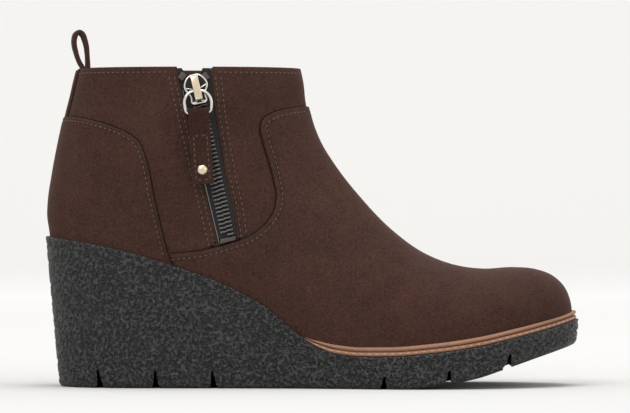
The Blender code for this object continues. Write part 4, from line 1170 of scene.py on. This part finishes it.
def crepe_field(points, seed, pitch):
    """Wandering crumbs: many waves of one pitch in all directions, summed."""
    rng = np.random.default_rng(seed)
    waves = rng.normal(size=(CREPE_WAVES, 3))
    waves *= (2 * math.pi / pitch) / np.linalg.norm(waves, axis=1, keepdims=True)
    waves *= rng.uniform(0.8, 1.25, size=(CREPE_WAVES, 1))
    shifts = rng.uniform(0, 2 * math.pi, CREPE_WAVES)
    total = np.zeros(len(points))
    for wave, shift in zip(waves, shifts):
        total += np.cos(points @ wave + shift)
    return total / math.sqrt(CREPE_WAVES / 2)


# Half of a groove's section: way out as a share of its mouth, and height of its depth
GROOVE_HALF = [(0.20, 1.0), (0.36, 0.7), (0.50, 0.42), (0.62, 0.24), (0.80, 0.11), (1.08, 0.02)]


def groove_outline(groove):
    """Side view of a tread groove: narrow above, opening in two round lug corners."""
    x = float(x_at(groove.along))
    low = float(sole_bottom(groove.along))
    deep = groove.depth * PLATFORM_HEIGHT
    mouth, shift = GROOVE_MOUTH / 2, groove.lean * GROOVE_MOUTH
    outline = []
    for side in (1, -1):
        edge = [(x + side * mouth * w + shift * (1 - h), low + deep * h) for w, h in GROOVE_HALF]
        edge.append((edge[-1][0], BELOW))
        outline += edge if side > 0 else edge[::-1]
    return outline


def make_groove_cutter(name, outline, side):
    """A flat outline filled and pulled in from one side of the sole to its middle web."""
    obj = curve_piece(name, [outline], True, dimensions="2D", fill_mode="BOTH",
                      extrude=(BALL_WIDTH - GROOVE_WEB) / 2)
    obj.rotation_euler = (math.pi / 2, 0, 0)
    obj.location.y = side * BALL_WIDTH / 2
    freeze(obj)
    close_up(obj)
    return obj


def make_sole():
    """Crepe wedge: crumbs raised on its side, smooth rounded edges, grooves across."""
    points = sole_rings(SOLE_COLUMNS, SOLE_ROWS)
    obj = grid_piece("crepe_sole", points)
    cap_ends(obj)
    fill_ends(obj)
    mesh = obj.data
    count = len(mesh.vertices)
    places = np.empty(count * 3)
    mesh.vertices.foreach_get("co", places)
    places = places.reshape(-1, 3)
    normals = np.empty(count * 3, np.float32)
    mesh.vertex_normals.foreach_get("vector", normals)
    normals = normals.reshape(-1, 3)
    field = crepe_field(places, 11, CREPE_PITCH)
    crumbs = ease((field + 0.75) / 1.3)
    along = places[:, 0] / BOOT_LENGTH + 0.5
    above = places[:, 2] - sole_bottom(along)
    under = sole_top(along) - places[:, 2]
    fade = ease((above - 0.0004) / 0.0022) * ease((under - 0.0001) / 0.0012)
    moved = places + normals * ((crumbs - CRUMB_MIDDLE) * CREPE_DEPTH * fade)[:, None]
    mesh.vertices.foreach_set("co", moved.astype(np.float32).ravel())
    # The crumbs' heights, which the crepe's colour also turns into painted shade and highlight
    crumb = mesh.attributes.new("crumb", "FLOAT", "POINT")
    crumb.data.foreach_set("value", (crumbs * fade + CRUMB_AT_EDGE * (1 - fade)).astype(np.float32))
    for groove, side in [(groove, side) for groove in GROOVES for side in (-1, 1)]:
        cutter = make_groove_cutter("groove", groove_outline(groove), side)
        modifier = obj.modifiers.new("Groove", "BOOLEAN")
        modifier.operation = "DIFFERENCE"
        modifier.solver = "MANIFOLD"
        modifier.object = cutter
        only(obj)
        bpy.ops.object.modifier_apply(modifier=modifier.name)
        bpy.data.objects.remove(cutter)
    smooth_shade(obj, 50)
    return finish_piece(obj, "boot", "crepe_rubber", CREPE, "sole")


def inset_outline(along, inset):
    low, high = inset / BOOT_LENGTH, 1 - inset / BOOT_LENGTH
    share = np.clip((along - low) / (high - low), 0, 1)
    body = smooth(PLAN, "half_width", share) * BALL_WIDTH / 2
    return plan_centre(share), plan_half(share) * (1 - inset / body)


def welt_point(share, side, inward, up):
    """A point on the welt: share along it, how far inward and how far up its section."""
    inset = WELT_LEDGE + (TOE_LEDGE + OVERLAY + WALL - WELT_LEDGE) * inward
    last = 1 - inset / BOOT_LENGTH
    along = WELT_FIRST + (last - WELT_FIRST) * share
    centre, half = inset_outline(along, inset)
    low = sole_top(along) + GAP * 0.2
    tall = welt_rise(along) - GAP * 0.2
    return np.stack([x_at(along), centre + side * half - Y_SHIFT, low + tall * up], axis=-1)


def welt_profile():
    """Section of the welt: flange below, groove, round bead above."""
    section = [(1.0, 0.0), (0.14, 0.0), (0.05, 0.03), (0.01, 0.10), (0.0, 0.22), (0.02, 0.36)]
    section += [(0.08, 0.43), (0.20, 0.455), (0.24, 0.48)]
    for angle in np.linspace(-1.15, 1.75, 9):
        section.append((0.30 - 0.30 * math.cos(angle), 0.74 + 0.25 * math.sin(angle)))
    section += [(0.55, 0.98), (1.0, 0.96)]
    return section


def welt_shares(count):
    turn = (1 - np.cos(np.linspace(0, math.pi, count + 1))) / 2
    share = np.concatenate([turn, turn[-2::-1]])
    side = np.concatenate([-np.ones(count + 1), np.ones(count)])
    side[count] = 0
    return share, side


def make_welt():
    """Tan welt swept round the forefoot from its section, closed at both ends."""
    share, side = welt_shares(WELT_COLUMNS)
    rings = np.array([welt_point(share, side, inward, up) for inward, up in welt_profile()])
    obj = grid_piece("welt_band", rings.transpose(1, 0, 2))
    cap_ends(obj)
    fill_ends(obj)
    smooth_shade(obj, 50)
    return finish_piece(obj, "boot", "tan_welt", WELT, "welt")


# The footbed's rings: rise, further inset and width of each
INSOLE_LEVELS = [
    (0.0, 0.0, 1.0), (0.8, 0.0, 1.0), (0.95, 0.0003, 1.0), (1.0, 0.0010, 1.0), (1.0, 0.0, 0.93),
    (1.0, 0.0, 0.8), (1.0, 0.0, 0.6), (1.0, 0.0, 0.4), (1.0, 0.0, 0.2),
]


def make_insole():
    """Footbed with a rounded edge, cupped a little at the heel."""
    share = (1 - np.cos(np.linspace(0, math.pi, 91))) / 2
    left, right = [], []
    for rise, more, width in INSOLE_LEVELS:
        inset = TOE_LEDGE + OVERLAY + WALL + 0.0010 + more
        low, high = inset / BOOT_LENGTH, 1 - inset / BOOT_LENGTH
        along = low + (high - low) * (0.5 + (share - 0.5) * (1 - (1 - width) * 0.3))
        centre, half = inset_outline(along, inset)
        bottom = sole_top(along) + 1.5 * GAP
        top = feather(along) + INSOLE_RISE - 0.0006 * (1 - width)
        z = bottom + (top - bottom) * rise
        left.append(np.column_stack([x_at(along), centre - half * width - Y_SHIFT, z]))
        right.append(np.column_stack([x_at(along), centre + half * width - Y_SHIFT, z]))
    obj = grid_piece("footbed", round_rings(np.array(left), np.array(right)))
    fill_ends(obj)
    smooth_shade(obj, 40)
    return finish_piece(obj, "boot", "footbed", FOOTBED, "insole")


# Stitches


def walk(line, pitch):
    """Evenly spaced places along a 3D line, with the direction at each."""
    steps = np.linalg.norm(np.diff(line, axis=0), axis=1)
    run = np.concatenate([[0], np.cumsum(steps)])
    count = max(int(run[-1] / pitch), 1)
    at = (np.arange(count) + 0.5) * run[-1] / count
    place = np.column_stack([np.interp(at, run, column) for column in line.T])
    ahead = np.column_stack([np.interp(at + pitch * 0.2, run, column) for column in line.T])
    behind = np.column_stack([np.interp(at - pitch * 0.2, run, column) for column in line.T])
    return place, ahead - behind, at / run[-1]


def stitch_frames(line, normals, pitch, sink=0.0):
    """A frame for each stitch: X along the seam, Z out of the surface."""
    place, direction, share = walk(line, pitch)
    run = np.concatenate([[0], np.cumsum(np.linalg.norm(np.diff(line, axis=0), axis=1))])
    out = np.column_stack([np.interp(share * run[-1], run, column) for column in normals.T])
    frames = []
    for p, d, n in zip(place, direction, out):
        n = Vector(n).normalized()
        d = Vector(d)
        d = (d - n * d.dot(n)).normalized()
        matrix = Matrix((d, n.cross(d), n)).transposed().to_4x4()
        matrix.translation = Vector(p) - n * sink
        frames.append(matrix)
    return frames


def stitch_template(length, width, height):
    """One stitch: a small ball drawn out, its ends dipping into the suede."""
    bpy.ops.object.select_all(action="DESELECT")
    bpy.ops.mesh.primitive_uv_sphere_add(segments=8, ring_count=6, radius=0.5, rotation=(0, math.pi / 2, 0))
    obj = take_new("stitch")
    obj.scale = (height, width, length)
    freeze(obj)
    for v in obj.data.vertices:
        v.co.z -= 0.35 * height * (2 * v.co.x / length) ** 2
    return obj


def surface_line(line, side, lift=0.0):
    """Side-view places carried onto the upper, with the outward directions."""
    x, z = line[:, 0], line[:, 1]
    step = 0.0004

    def y_at(dx, dz):
        centre, half = half_width(x + dx, z + dz)
        return centre + side * half - Y_SHIFT

    slope_x = (y_at(step, 0) - y_at(-step, 0)) / (2 * step)
    slope_z = (y_at(0, step) - y_at(0, -step)) / (2 * step)
    normal = np.column_stack([-side * slope_x, np.full(len(x), float(side)), -side * slope_z])
    normal /= np.linalg.norm(normal, axis=1, keepdims=True)
    return np.column_stack([x, y_at(0, 0), z]) + normal * lift, normal


def overlay_stitches():
    """Stitch rows inside the vamp's and the counter's edge, on both sides."""
    frames = []
    for line in stitch_lines():
        low = feather(line[:, 0] / BOOT_LENGTH + 0.5)
        keep = (line[:, 1] > low + 0.002) & (line[:, 0] > BACK_LINE.at(0.9)[0] - 0.02)
        keep &= half_width(line[:, 0], line[:, 1])[1] > 0.004
        line = line[keep]
        for side in (-1, 1):
            places, normals = surface_line(line, side, OVERLAY - STITCH_TROUGH * 0.8)
            frames += stitch_frames(places, normals, STITCH_PITCH)
    return frames


def collar_stitches():
    """A row of stitches under the collar, left out where the zip opens."""
    rings, normal = skin_rings(160, 130)
    down = np.linalg.norm(np.diff(rings[::-1], axis=0), axis=-1).cumsum(axis=0)
    down = np.concatenate([np.zeros((1, down.shape[1])), down])
    last, column = len(rings) - 1, np.arange(rings.shape[1])
    row = np.argmax(down > COLLAR_STITCH, axis=0)
    part = ((COLLAR_STITCH - down[row - 1, column]) / (down[row, column] - down[row - 1, column]))[:, None]
    line = rings[last - row + 1, column] * (1 - part) + rings[last - row, column] * part
    normals = normal[last - row, column]
    line = np.concatenate([line, line[:1]])
    normals = np.concatenate([normals, normals[:1]])
    frames = []
    slot_low, slot_high = x_at(0.2455) - 0.002, x_at(0.312) + 0.002
    for matrix in stitch_frames(line, normals, STITCH_PITCH):
        p = matrix.translation
        if slot_low < p.x < slot_high and p.y < 0:
            continue
        frames.append(matrix)
    return frames


def zip_stitches():
    """Two rows down each side of the zip."""
    frames = []
    heights = np.linspace(0.975, 0.425, 40)
    for column, side in (("back", -1), ("front", 1)):
        for distance in ZIP_STITCHES:
            line = zip_edge(column, heights, side * distance)
            covered = inside_outline(line[:, 0], line[:, 1], overlay_outlines()[0][1])
            line = line[~covered]
            places, normals = surface_line(line, -1, 0.00005)
            frames += stitch_frames(places, normals, STITCH_PITCH)
    return frames


def sewn(name, frames, body="boot"):
    """Stitches, and near-black dots between them for the needle holes: painted shade in the holes."""
    obj = copies(name, stitch_template(*STITCH_SIZE), frames)
    finish_piece(obj, body, "brown_suede", THREAD)
    half = Matrix.Translation((STITCH_PITCH / 2, 0, HOLE_LIFT))
    holes = copies(name + "_holes", stitch_template(*HOLE_SIZE), [m @ half for m in frames])
    finish_piece(holes, body, "brown_suede", HOLE_SHADE)


def make_upper_stitches():
    sewn("upper_stitches", overlay_stitches() + collar_stitches() + zip_stitches())


def make_welt_stitches():
    share, side = welt_shares(240)
    line = welt_point(share, side, 0.0, 0.25)
    inner = welt_point(share, side, 0.5, 0.25)
    normals = line - inner
    normals /= np.maximum(np.linalg.norm(normals, axis=1, keepdims=True), 1e-9)
    frames = stitch_frames(line, normals, WELT_STITCH_PITCH, 0.0001)
    obj = copies("welt_stitches", stitch_template(*WELT_STITCH_SIZE), frames[2:-2])
    return finish_piece(obj, "boot", "tan_welt", WELT_THREAD)


# Zip, slider and pull


def zip_line(column, height):
    return float(smooth(ZIP[::-1], column, height))


def tape_frame(along, height, upward, lift):
    """Local axes on the tape: Y as near as can be to the given direction, Z outwards."""
    origin, out = skin(along, height, lift)
    up = (upward - out * out.dot(upward)).normalized()
    return frame_matrix(origin, up.cross(out), up, out)


def make_tape(name, column, side):
    """Woven tape with a cord under its teeth; its top corner parts and curls outwards."""
    heights = np.linspace(0.9985, 0.448, 46)
    spread = np.interp(heights, [ZIP_SPLIT, 1.0], [0.0001, TAPE_SPREAD])
    share = np.linspace(0, 1, 9)
    outside = x_at(smooth(ZIP[::-1], column, heights)) - side * 0.0002
    inside = x_at(smooth(ZIP[::-1], "teeth", heights)) + side * spread
    xs = outside[:, None] + (inside - outside)[:, None] * share
    zs = np.repeat(heights[:, None] * COLLAR_HEIGHT, len(share), axis=1)
    cord = CORD_RISE * np.exp(-((((inside[:, None] - xs) * side + CORD_INSET) / CORD_WIDTH) ** 2))
    curl = CURL_RISE * np.clip((heights[:, None] - CURL_START) / (1 - CURL_START), 0, 1) ** 2 * share
    places, normals = surface_line(np.column_stack([xs.ravel(), zs.ravel()]), -1)
    places, normals = places.reshape(*xs.shape, 3), normals.reshape(*xs.shape, 3)
    front = places + normals * (curl + cord - TAPE_SET_BACK)[..., None]
    back = places + normals * (curl - TAPE_SET_BACK - TAPE_THICKNESS)[..., None]
    rings = np.concatenate([front, back[:, ::-1]], axis=1)
    obj = fill_ends(grid_piece(name + "_woven", rings))
    smooth_shade(obj, 50)
    return finish_piece(obj, "boot", "zip_tape", TAPE, name)


def make_teeth():
    """Two rows of metal teeth, half a pitch apart, that meet in the middle."""
    bpy.ops.object.select_all(action="DESELECT")
    bpy.ops.mesh.primitive_cube_add(size=1)
    tooth = take_new("tooth")
    tooth.scale = (TOOTH_LENGTH, TOOTH_HEIGHT, TOOTH_DEPTH)
    bpy.ops.object.transform_apply(scale=True)
    bevel = tooth.modifiers.new("Bevel", "BEVEL")
    bevel.width = TOOTH_BEVEL
    bevel.segments = 2
    freeze(tooth)
    upward = hinge_frame()[2]
    pitch = (CHAIN_TOP - CHAIN_BOTTOM) / TOOTH_COUNT
    side = np.tile([-1.0, 1.0], TOOTH_COUNT)
    heights = CHAIN_TOP - (np.repeat(np.arange(TOOTH_COUNT), 2) + 0.5 + 0.25 * side) * pitch
    xs = x_at(smooth(ZIP[::-1], "teeth", heights)) + side * TOOTH_OFFSET
    line = np.column_stack([xs, heights * COLLAR_HEIGHT])
    frames = []
    for place, out in zip(*surface_line(line, -1, TEETH_RISE - TOOTH_DEPTH / 2)):
        out = Vector(out)
        up = (upward - out * out.dot(upward)).normalized()
        frames.append(frame_matrix(Vector(place), up.cross(out), up, out))
    obj = copies("zip_chain", tooth, frames)
    return finish_piece(obj, "boot", "zip_metal", GUNMETAL, "zip_teeth")


def make_slot_edge_shine():
    """Thin glossy grey wire along the back of the slot: a painted highlight for the shine along that edge.
    """
    heights = np.linspace(0.93, 0.452, 30)
    points = surface_line(zip_edge("back", heights, 0.0009), -1, -0.0003)[0]
    obj = wire("slot_edge_shine_line", points, 0.00032)
    return finish_piece(obj, "boot", "zip_tape", SLOT_EDGE_SHINE)


def make_stops():
    for name, side in (("top_stop_back", -1), ("top_stop_front", 1)):
        along = zip_line("teeth", STOP_HEIGHT) + side * STOP_OFFSET / BOOT_LENGTH
        matrix = tape_frame(along, STOP_HEIGHT, Vector((-side * 0.75, 0, 1)), -TAPE_SET_BACK + 2 * GAP)
        half, tall = 0.0015, 0.0017
        outline = [(-half, -tall), (half, -tall), (half, tall), (-half, tall)]
        obj = slab(name + "_cap", outline, -0.0001, 0.0010, matrix, 0.0003)
        finish_piece(obj, "boot", "zip_metal", STOP_METAL, name)
    along = zip_line("teeth", BAR_HEIGHT)
    matrix = tape_frame(along, BAR_HEIGHT - 0.009, Vector((0, 0, 1)), -TAPE_SET_BACK + GAP)
    outline = [(-0.0039, -0.0018), (0.0036, 0.0002), (0.0036, 0.0021), (-0.0035, 0.0006)]
    obj = slab("bottom_stop_cap", outline, -0.0001, 0.0012, matrix, 0.0004)
    finish_piece(obj, "boot", "zip_metal", STOP_METAL, "bottom_stop")


def hinge_frame():
    """Place of the pull's hinge, and the slider's across, up and outward directions."""
    origin, out = skin(zip_line("teeth", SLIDER_HEIGHT), SLIDER_HEIGHT, HINGE_LIFT)
    lower = skin(zip_line("teeth", 0.8), 0.8, HINGE_LIFT)[0]
    up = (origin - lower).normalized()
    up = (up - out * up.dot(out)).normalized()
    return origin, up.cross(out), up, out


def slider_outline(scale, inset=0.0):
    half, length = SLIDER_WIDTH / 2 * scale - inset, SLIDER_LENGTH * (1 - 2 * inset / SLIDER_LENGTH)
    right = Path([(half * row.across, length * row.up) for row in SHIELD]).at(np.linspace(0, 1, 26))
    right = list(zip(*right))
    return [*right, *[(-x, y) for x, y in right[::-1]]]


# Ribs on the slider's plate: outer end, inner end and radius
SLIDER_RIBS = [(0.0046, 0.0022, 0.0012, 0.0010, 0.00036), (0.0032, -0.0051, 0.0010, -0.0049, 0.00034)]


def make_slider():
    """Slider: dark plate with a bright rim and ribs, and the bridge arching over the ring."""
    matrix = frame_matrix(*hinge_frame())
    plate_top = -HINGE_LIFT + TEETH_RISE + GAP + PLATE_THICKNESS
    plate_low = plate_top - PLATE_THICKNESS
    under_top = -HINGE_LIFT - TAPE_SET_BACK - TAPE_THICKNESS - SLIDER_GAP
    plate = slab("plate", slider_outline(1.0), plate_low, plate_top - 0.0002, matrix, 0.0002)
    under = slab("under", slider_outline(0.9), under_top - PLATE_THICKNESS, under_top, matrix, 0.0003)
    finish_piece(join("slider_plates", plate, under), "boot", "pale_gold_metal", DARK_METAL)
    rim = [(x, y, plate_top - 0.0001) for x, y in slider_outline(1.0, 0.0005)]
    pieces = [wire("slider_rim", rim, RIM_RADIUS, matrix, closed=True)]
    for side in (-1, 1):
        for out_x, out_y, in_x, in_y, radius in SLIDER_RIBS:
            rib = [(side * out_x, out_y, plate_top), (side * in_x, in_y, plate_top)]
            pieces.append(wire("rib", rib, radius, matrix))
    foot, head = SLIDER_LENGTH * BRIDGE_FOOT, SLIDER_LENGTH * BRIDGE_HEAD
    rise, thick, low = plate_top + BRIDGE_RISE, BRIDGE_THICKNESS, plate_top - PLATE_THICKNESS / 2
    outside = [(0.0, 1.3), (0.3, 0.4), (1.3, 0.0)]
    inside = [(1.0, 1.5), (1.5, 1.0)]
    arch = [(foot, low), *[(foot + u * thick, rise - v * thick) for u, v in outside]]
    arch += [(head - u * thick, rise - v * thick) for u, v in outside[::-1]]
    arch += [(head, low), (head - thick, low), *[(head - u * thick, rise - v * thick) for u, v in inside]]
    arch += [*[(foot + u * thick, rise - v * thick) for u, v in inside[::-1]], (foot + thick, low)]
    bridge = slab("slider_bridge", arch, -BRIDGE_WIDTH / 2, BRIDGE_WIDTH / 2, matrix @ SIDEWAYS, 0.00022)
    finish_piece(bridge, "boot", "pale_gold_metal", PALE_GOLD)
    return finish_piece(join("slider_body", *pieces), "boot", "pale_gold_metal", NICKEL, "slider")


def pull_matrix():
    """The pull hangs from the hinge, leaning a little off the zip, down to its end."""
    origin, _, _, out = hinge_frame()
    end = skin(PULL_END_ALONG, PULL_END_HEIGHT, PULL_END_LIFT)[0]
    up = (origin - end).normalized()
    out = (out - up * out.dot(up)).normalized()
    return frame_matrix(origin, up.cross(out), up, out)


def make_ring():
    half = [(RING_WIDTH / 2 * row.across, -RING_DROP * row.down) for row in RING]
    loop = Path([*half, *[(-x, y) for x, y in half[-2::-1]]]).at(np.linspace(0, 1, 72)[:-1])
    points = [(x, y, 0.0) for x, y in zip(*loop)]
    obj = wire("ring_wire", points, RING_WIRE, pull_matrix(), closed=True)
    return finish_piece(obj, "pull", "pale_gold_metal", NICKEL, "pull_ring")


def make_tab():
    """Suede strap folded round the ring's bar, with a stitched patch on its lower part."""
    matrix = pull_matrix()
    hole_radius = RING_WIRE + 0.0001
    fold = RING_WIRE + GAP + TAB_THICKNESS / 2
    half, patch = TAB_THICKNESS / 2, TAB_THICKNESS / 2 + PATCH_THICKNESS
    foot, neck = -RING_DROP - TAB_LENGTH, -RING_DROP - fold * 2.2
    step = -RING_DROP - TAB_LENGTH * PATCH_START
    outline = [(neck, half), (step, half), (step - 0.0002, patch)]
    outline += [(foot, patch), (foot, -half), (neck, -half)]
    turns = np.linspace(math.radians(-112), math.radians(112), 21)
    outline += [(-RING_DROP + fold * math.cos(t), fold * math.sin(t)) for t in turns]
    turns = np.linspace(0, 2 * math.pi, 16, endpoint=False)
    hole = [(-RING_DROP + hole_radius * math.cos(t), hole_radius * math.sin(t)) for t in turns]
    wide = TAB_WIDTH / 2
    obj = slab("tab_suede", outline, -wide, wide, matrix @ SIDEWAYS, TAB_BEVEL, holes=[hole])
    finish_piece(obj, "pull", "brown_suede", SUEDE_TAB, "pull_tab")
    inset, low, high = wide - PATCH_STITCH, foot + PATCH_STITCH, step - 0.0010
    corners = [(-inset, high), (-inset, low), (inset, low), (inset, high), (-inset, high)]
    frames = []
    for (ax, ay), (bx, by) in zip(corners, corners[1:]):
        line = np.array([matrix @ Vector((ax, ay, patch)), matrix @ Vector((bx, by, patch))])
        normals = np.array([matrix.col[2][:3]] * 2)
        frames += stitch_frames(line, normals, TAB_STITCH_PITCH)
    sewn("tab_stitches", frames, "pull")
    return obj


def make_rivet():
    """Domed rivet: a profile turned round its axis, with a thin washer behind."""
    matrix = pull_matrix() @ Matrix.Translation((0, -RING_DROP - TAB_LENGTH * RIVET_DOWN, 0))
    top = TAB_THICKNESS / 2 + PATCH_THICKNESS
    radius, back = RIVET_RADIUS, -TAB_THICKNESS / 2
    profile = [(radius * math.sin(a), top + RIVET_DOME * math.cos(a)) for a in np.linspace(0.02, 1.45, 12)]
    profile += [(radius * 1.02, top + 0.0001), (radius * 0.98, top - 0.0002), (0.0010, top - 0.0003)]
    profile += [(0.0010, back), (0.0018, back), (0.0018, back - 0.0006), (0.00005, back - 0.0007)]
    turns = np.linspace(0, 2 * math.pi, 40, endpoint=False)
    rings = []
    for r, z in profile:
        rings.append([tuple(matrix @ Vector((r * math.cos(t), r * math.sin(t), z))) for t in turns])
    obj = fill_ends(grid_piece("rivet_dome", np.array(rings)))
    smooth_shade(obj, 40)
    return finish_piece(obj, "pull", "pale_gold_metal", PALE_GOLD, "tab_rivet")


# Loop and strip at the back


def make_loop():
    """Folded strap swept along its side outline, turned a little so its face shows."""
    x, z = (float(v) for v in BACK_LINE.at(1.0))
    x += WALL + 4 * GAP
    line = [(x + 0.22 * LOOP_REACH, z - LOOP_FOOT)]
    for row, lean in zip(LOOP, LOOP_LEAN):
        line.append((x - (row.back + lean) * LOOP_REACH, z + row.rise * LOOP_HEIGHT))
    line += [(x - 0.25 * LOOP_REACH, z - LOOP_FOOT)]
    middle = np.column_stack(Path(line).at(np.linspace(0, 1, 90)))
    step = np.gradient(middle, axis=0)
    side = np.column_stack([step[:, 1], -step[:, 0]]) / np.hypot(*step.T)[:, None]
    turns = np.linspace(0, 2 * math.pi, 28, endpoint=False)
    rings = []
    for (px, pz), (nx, nz) in zip(middle, side):
        ring = []
        for t in turns:
            thick = abs(math.cos(t)) ** 0.5 * math.copysign(1, math.cos(t)) * LOOP_FULLNESS * LOOP_STRAP / 2
            wide = abs(math.sin(t)) ** 0.28 * math.copysign(1, math.sin(t)) * LOOP_WIDTH / 2
            twist = math.radians(LOOP_TWIST) * min(max((pz - z) / LOOP_HEIGHT, 0), 1)
            dx = px + nx * thick - x
            ring.append((x + dx * math.cos(twist) - wide * math.sin(twist),
                         dx * math.sin(twist) + wide * math.cos(twist) - Y_SHIFT, pz + nz * thick))
        rings.append(ring)
    obj = fill_ends(grid_piece("loop_strap", np.array(rings)))
    smooth_shade(obj, 50)
    return finish_piece(obj, "boot", "brown_suede", SUEDE, "pull_loop")


def make_back_strip():
    """Strip over the back seam, its edges rounded, tucked under the counter, with dark lines of painted
    shade along both edges.
    """
    rings, normal = skin_rings(200, 130)
    low = COUNTER_EDGE[0].height * COLLAR_HEIGHT - 0.0012
    reach = STRIP_COLUMNS
    rows, edge_shade_lines = [], []
    for ring, out in zip(rings, normal):
        if ring[0, 2] < low:
            continue
        places = np.concatenate([ring[reach:0:-1], ring[:1], ring[:-reach - 1:-1]])
        outs = np.concatenate([out[reach:0:-1], out[:1], out[:-reach - 1:-1]])
        run = np.concatenate([[0], np.cumsum(np.linalg.norm(np.diff(places, axis=0), axis=1))])
        run -= run[reach]
        at = np.linspace(-0.5, 0.5, 33) * BACK_STRIP_WIDTH * 1.06
        place = np.column_stack([np.interp(at, run, column) for column in places.T])
        outward = np.column_stack([np.interp(at, run, column) for column in outs.T])
        round_side = np.sqrt(np.clip(1 - np.clip((np.abs(at) / at[-1] - 0.88) / 0.12, 0, 1) ** 2, 0, 1))
        top = np.clip((rings[-1, 0, 2] - ring[0, 2]) / 0.0012, 0, 1)
        lift = BACK_STRIP_THICKNESS * round_side * math.sqrt(1 - (1 - top) ** 2) + 0.00005
        edge_shade_lines.append((place[0] + outward[0] * 0.0001, place[-1] + outward[-1] * 0.0001))
        rows.append(np.concatenate([place + outward * lift[:, None], (place - outward * 0.0003)[::-1]]))
    # Dark lines at the strip's edges: its cut edges and painted shade in the gap beside them
    lines = [wire("seam", [pair[n] for pair in edge_shade_lines], EDGE_SHADE_RADIUS) for n in (0, 1)]
    finish_piece(join("back_strip_edge_shade", *lines), "boot", "brown_suede", CUT_EDGE_AND_SHADOW)
    obj = fill_ends(grid_piece("back_strip_suede", np.array(rows)))
    smooth_shade(obj, 60)
    return finish_piece(obj, "boot", "brown_suede", SUEDE, "back_strip")


# Stage and camera


# The floor gets darker towards the boot, where the lights are brightest
FLOOR_NEAR = (0.595, 0.591, 0.583)
FLOOR_FAR = (0.95, 0.945, 0.935)
SKY = (1.0, 0.995, 0.985, 1.0)
SKY_STRENGTH = 0.95

# Lights aimed at the boot's middle: place, size and power
Light = namedtuple("Light", "name place size power")
LIGHTS = table(Light, [
    ("key", (-0.7, -1.1, 1.3), 1.0, 11),
    ("fill", (1.3, -1.0, 0.7), 1.2, 3),
    ("top", (0.2, 0.0, 1.6), 0.9, 11),
])
AIM = Vector((0, 0, 0.07))


def make_stage():
    """Pale floor that sweeps up behind the boot."""
    width, front, back, tall, bend = 11.0, -5.5, 5.5, 4.0, 1.2
    profile = [(front, 0.0), (back - bend, 0.0)]
    for a in np.linspace(0, math.pi / 2, 16):
        profile.append((back - bend + bend * math.sin(a), bend - bend * math.cos(a)))
    profile.append((back, tall))
    points = np.array([[(x, y, z) for x in (-width / 2, width / 2)] for y, z in profile])
    obj = grid_piece("floor_sweep", points, closed=False)
    smooth_shade(obj, 60)
    finish = Finish("pale_floor", Specular_IOR_Level=0.0)
    grain = finish.noise(3.0, 1.0)
    depth = finish.node("ShaderNodeSeparateXYZ", out="Y", Vector=finish.place)
    far = (depth * 0.5).clamp()
    colour = finish.mix(far, FLOOR_NEAR, FLOOR_FAR)
    obj.data.materials.append(finish.feed(Base_Color=colour, Roughness=grain * 0.05 + 0.9))


def make_camera_and_light():
    camera = bpy.data.cameras.new("camera")
    camera.sensor_width = SENSOR
    camera.lens = SENSOR * CAMERA_DISTANCE / (PHOTO_WIDTH * METRES_PER_PIXEL)
    camera.clip_end = 20
    obj = bpy.data.objects.new("camera", camera)
    bpy.context.scene.collection.objects.link(obj)
    obj.location = (PHOTO_MIDDLE_X, -CAMERA_DISTANCE, CAMERA_HEIGHT)
    obj.rotation_euler = (math.pi / 2, 0, 0)
    bpy.context.scene.camera = obj
    for row in LIGHTS:
        light = bpy.data.lights.new(row.name, "AREA")
        light.shape = "DISK"
        light.size = row.size
        light.energy = row.power
        obj = bpy.data.objects.new(row.name, light)
        bpy.context.scene.collection.objects.link(obj)
        obj.location = row.place
        obj.rotation_euler = (AIM - Vector(row.place)).to_track_quat("-Z", "Y").to_euler()
    world = bpy.data.worlds.new("studio")
    world.use_nodes = True
    sky = world.node_tree.nodes["Background"]
    sky.inputs["Color"].default_value = SKY
    sky.inputs["Strength"].default_value = SKY_STRENGTH
    bpy.context.scene.world = world
    bpy.context.scene.view_settings.view_transform = "Standard"


make_camera_and_light()
make_stage()
make_upper()
make_edges()
make_lining()
make_sole()
make_welt()
make_insole()
make_upper_stitches()
make_welt_stitches()

make_tape("zip_tape_back", "back", -1)
make_tape("zip_tape_front", "front", 1)
make_teeth()
make_slot_edge_shine()
make_stops()
make_slider()
make_ring()
make_tab()
make_rivet()
make_loop()
make_back_strip()
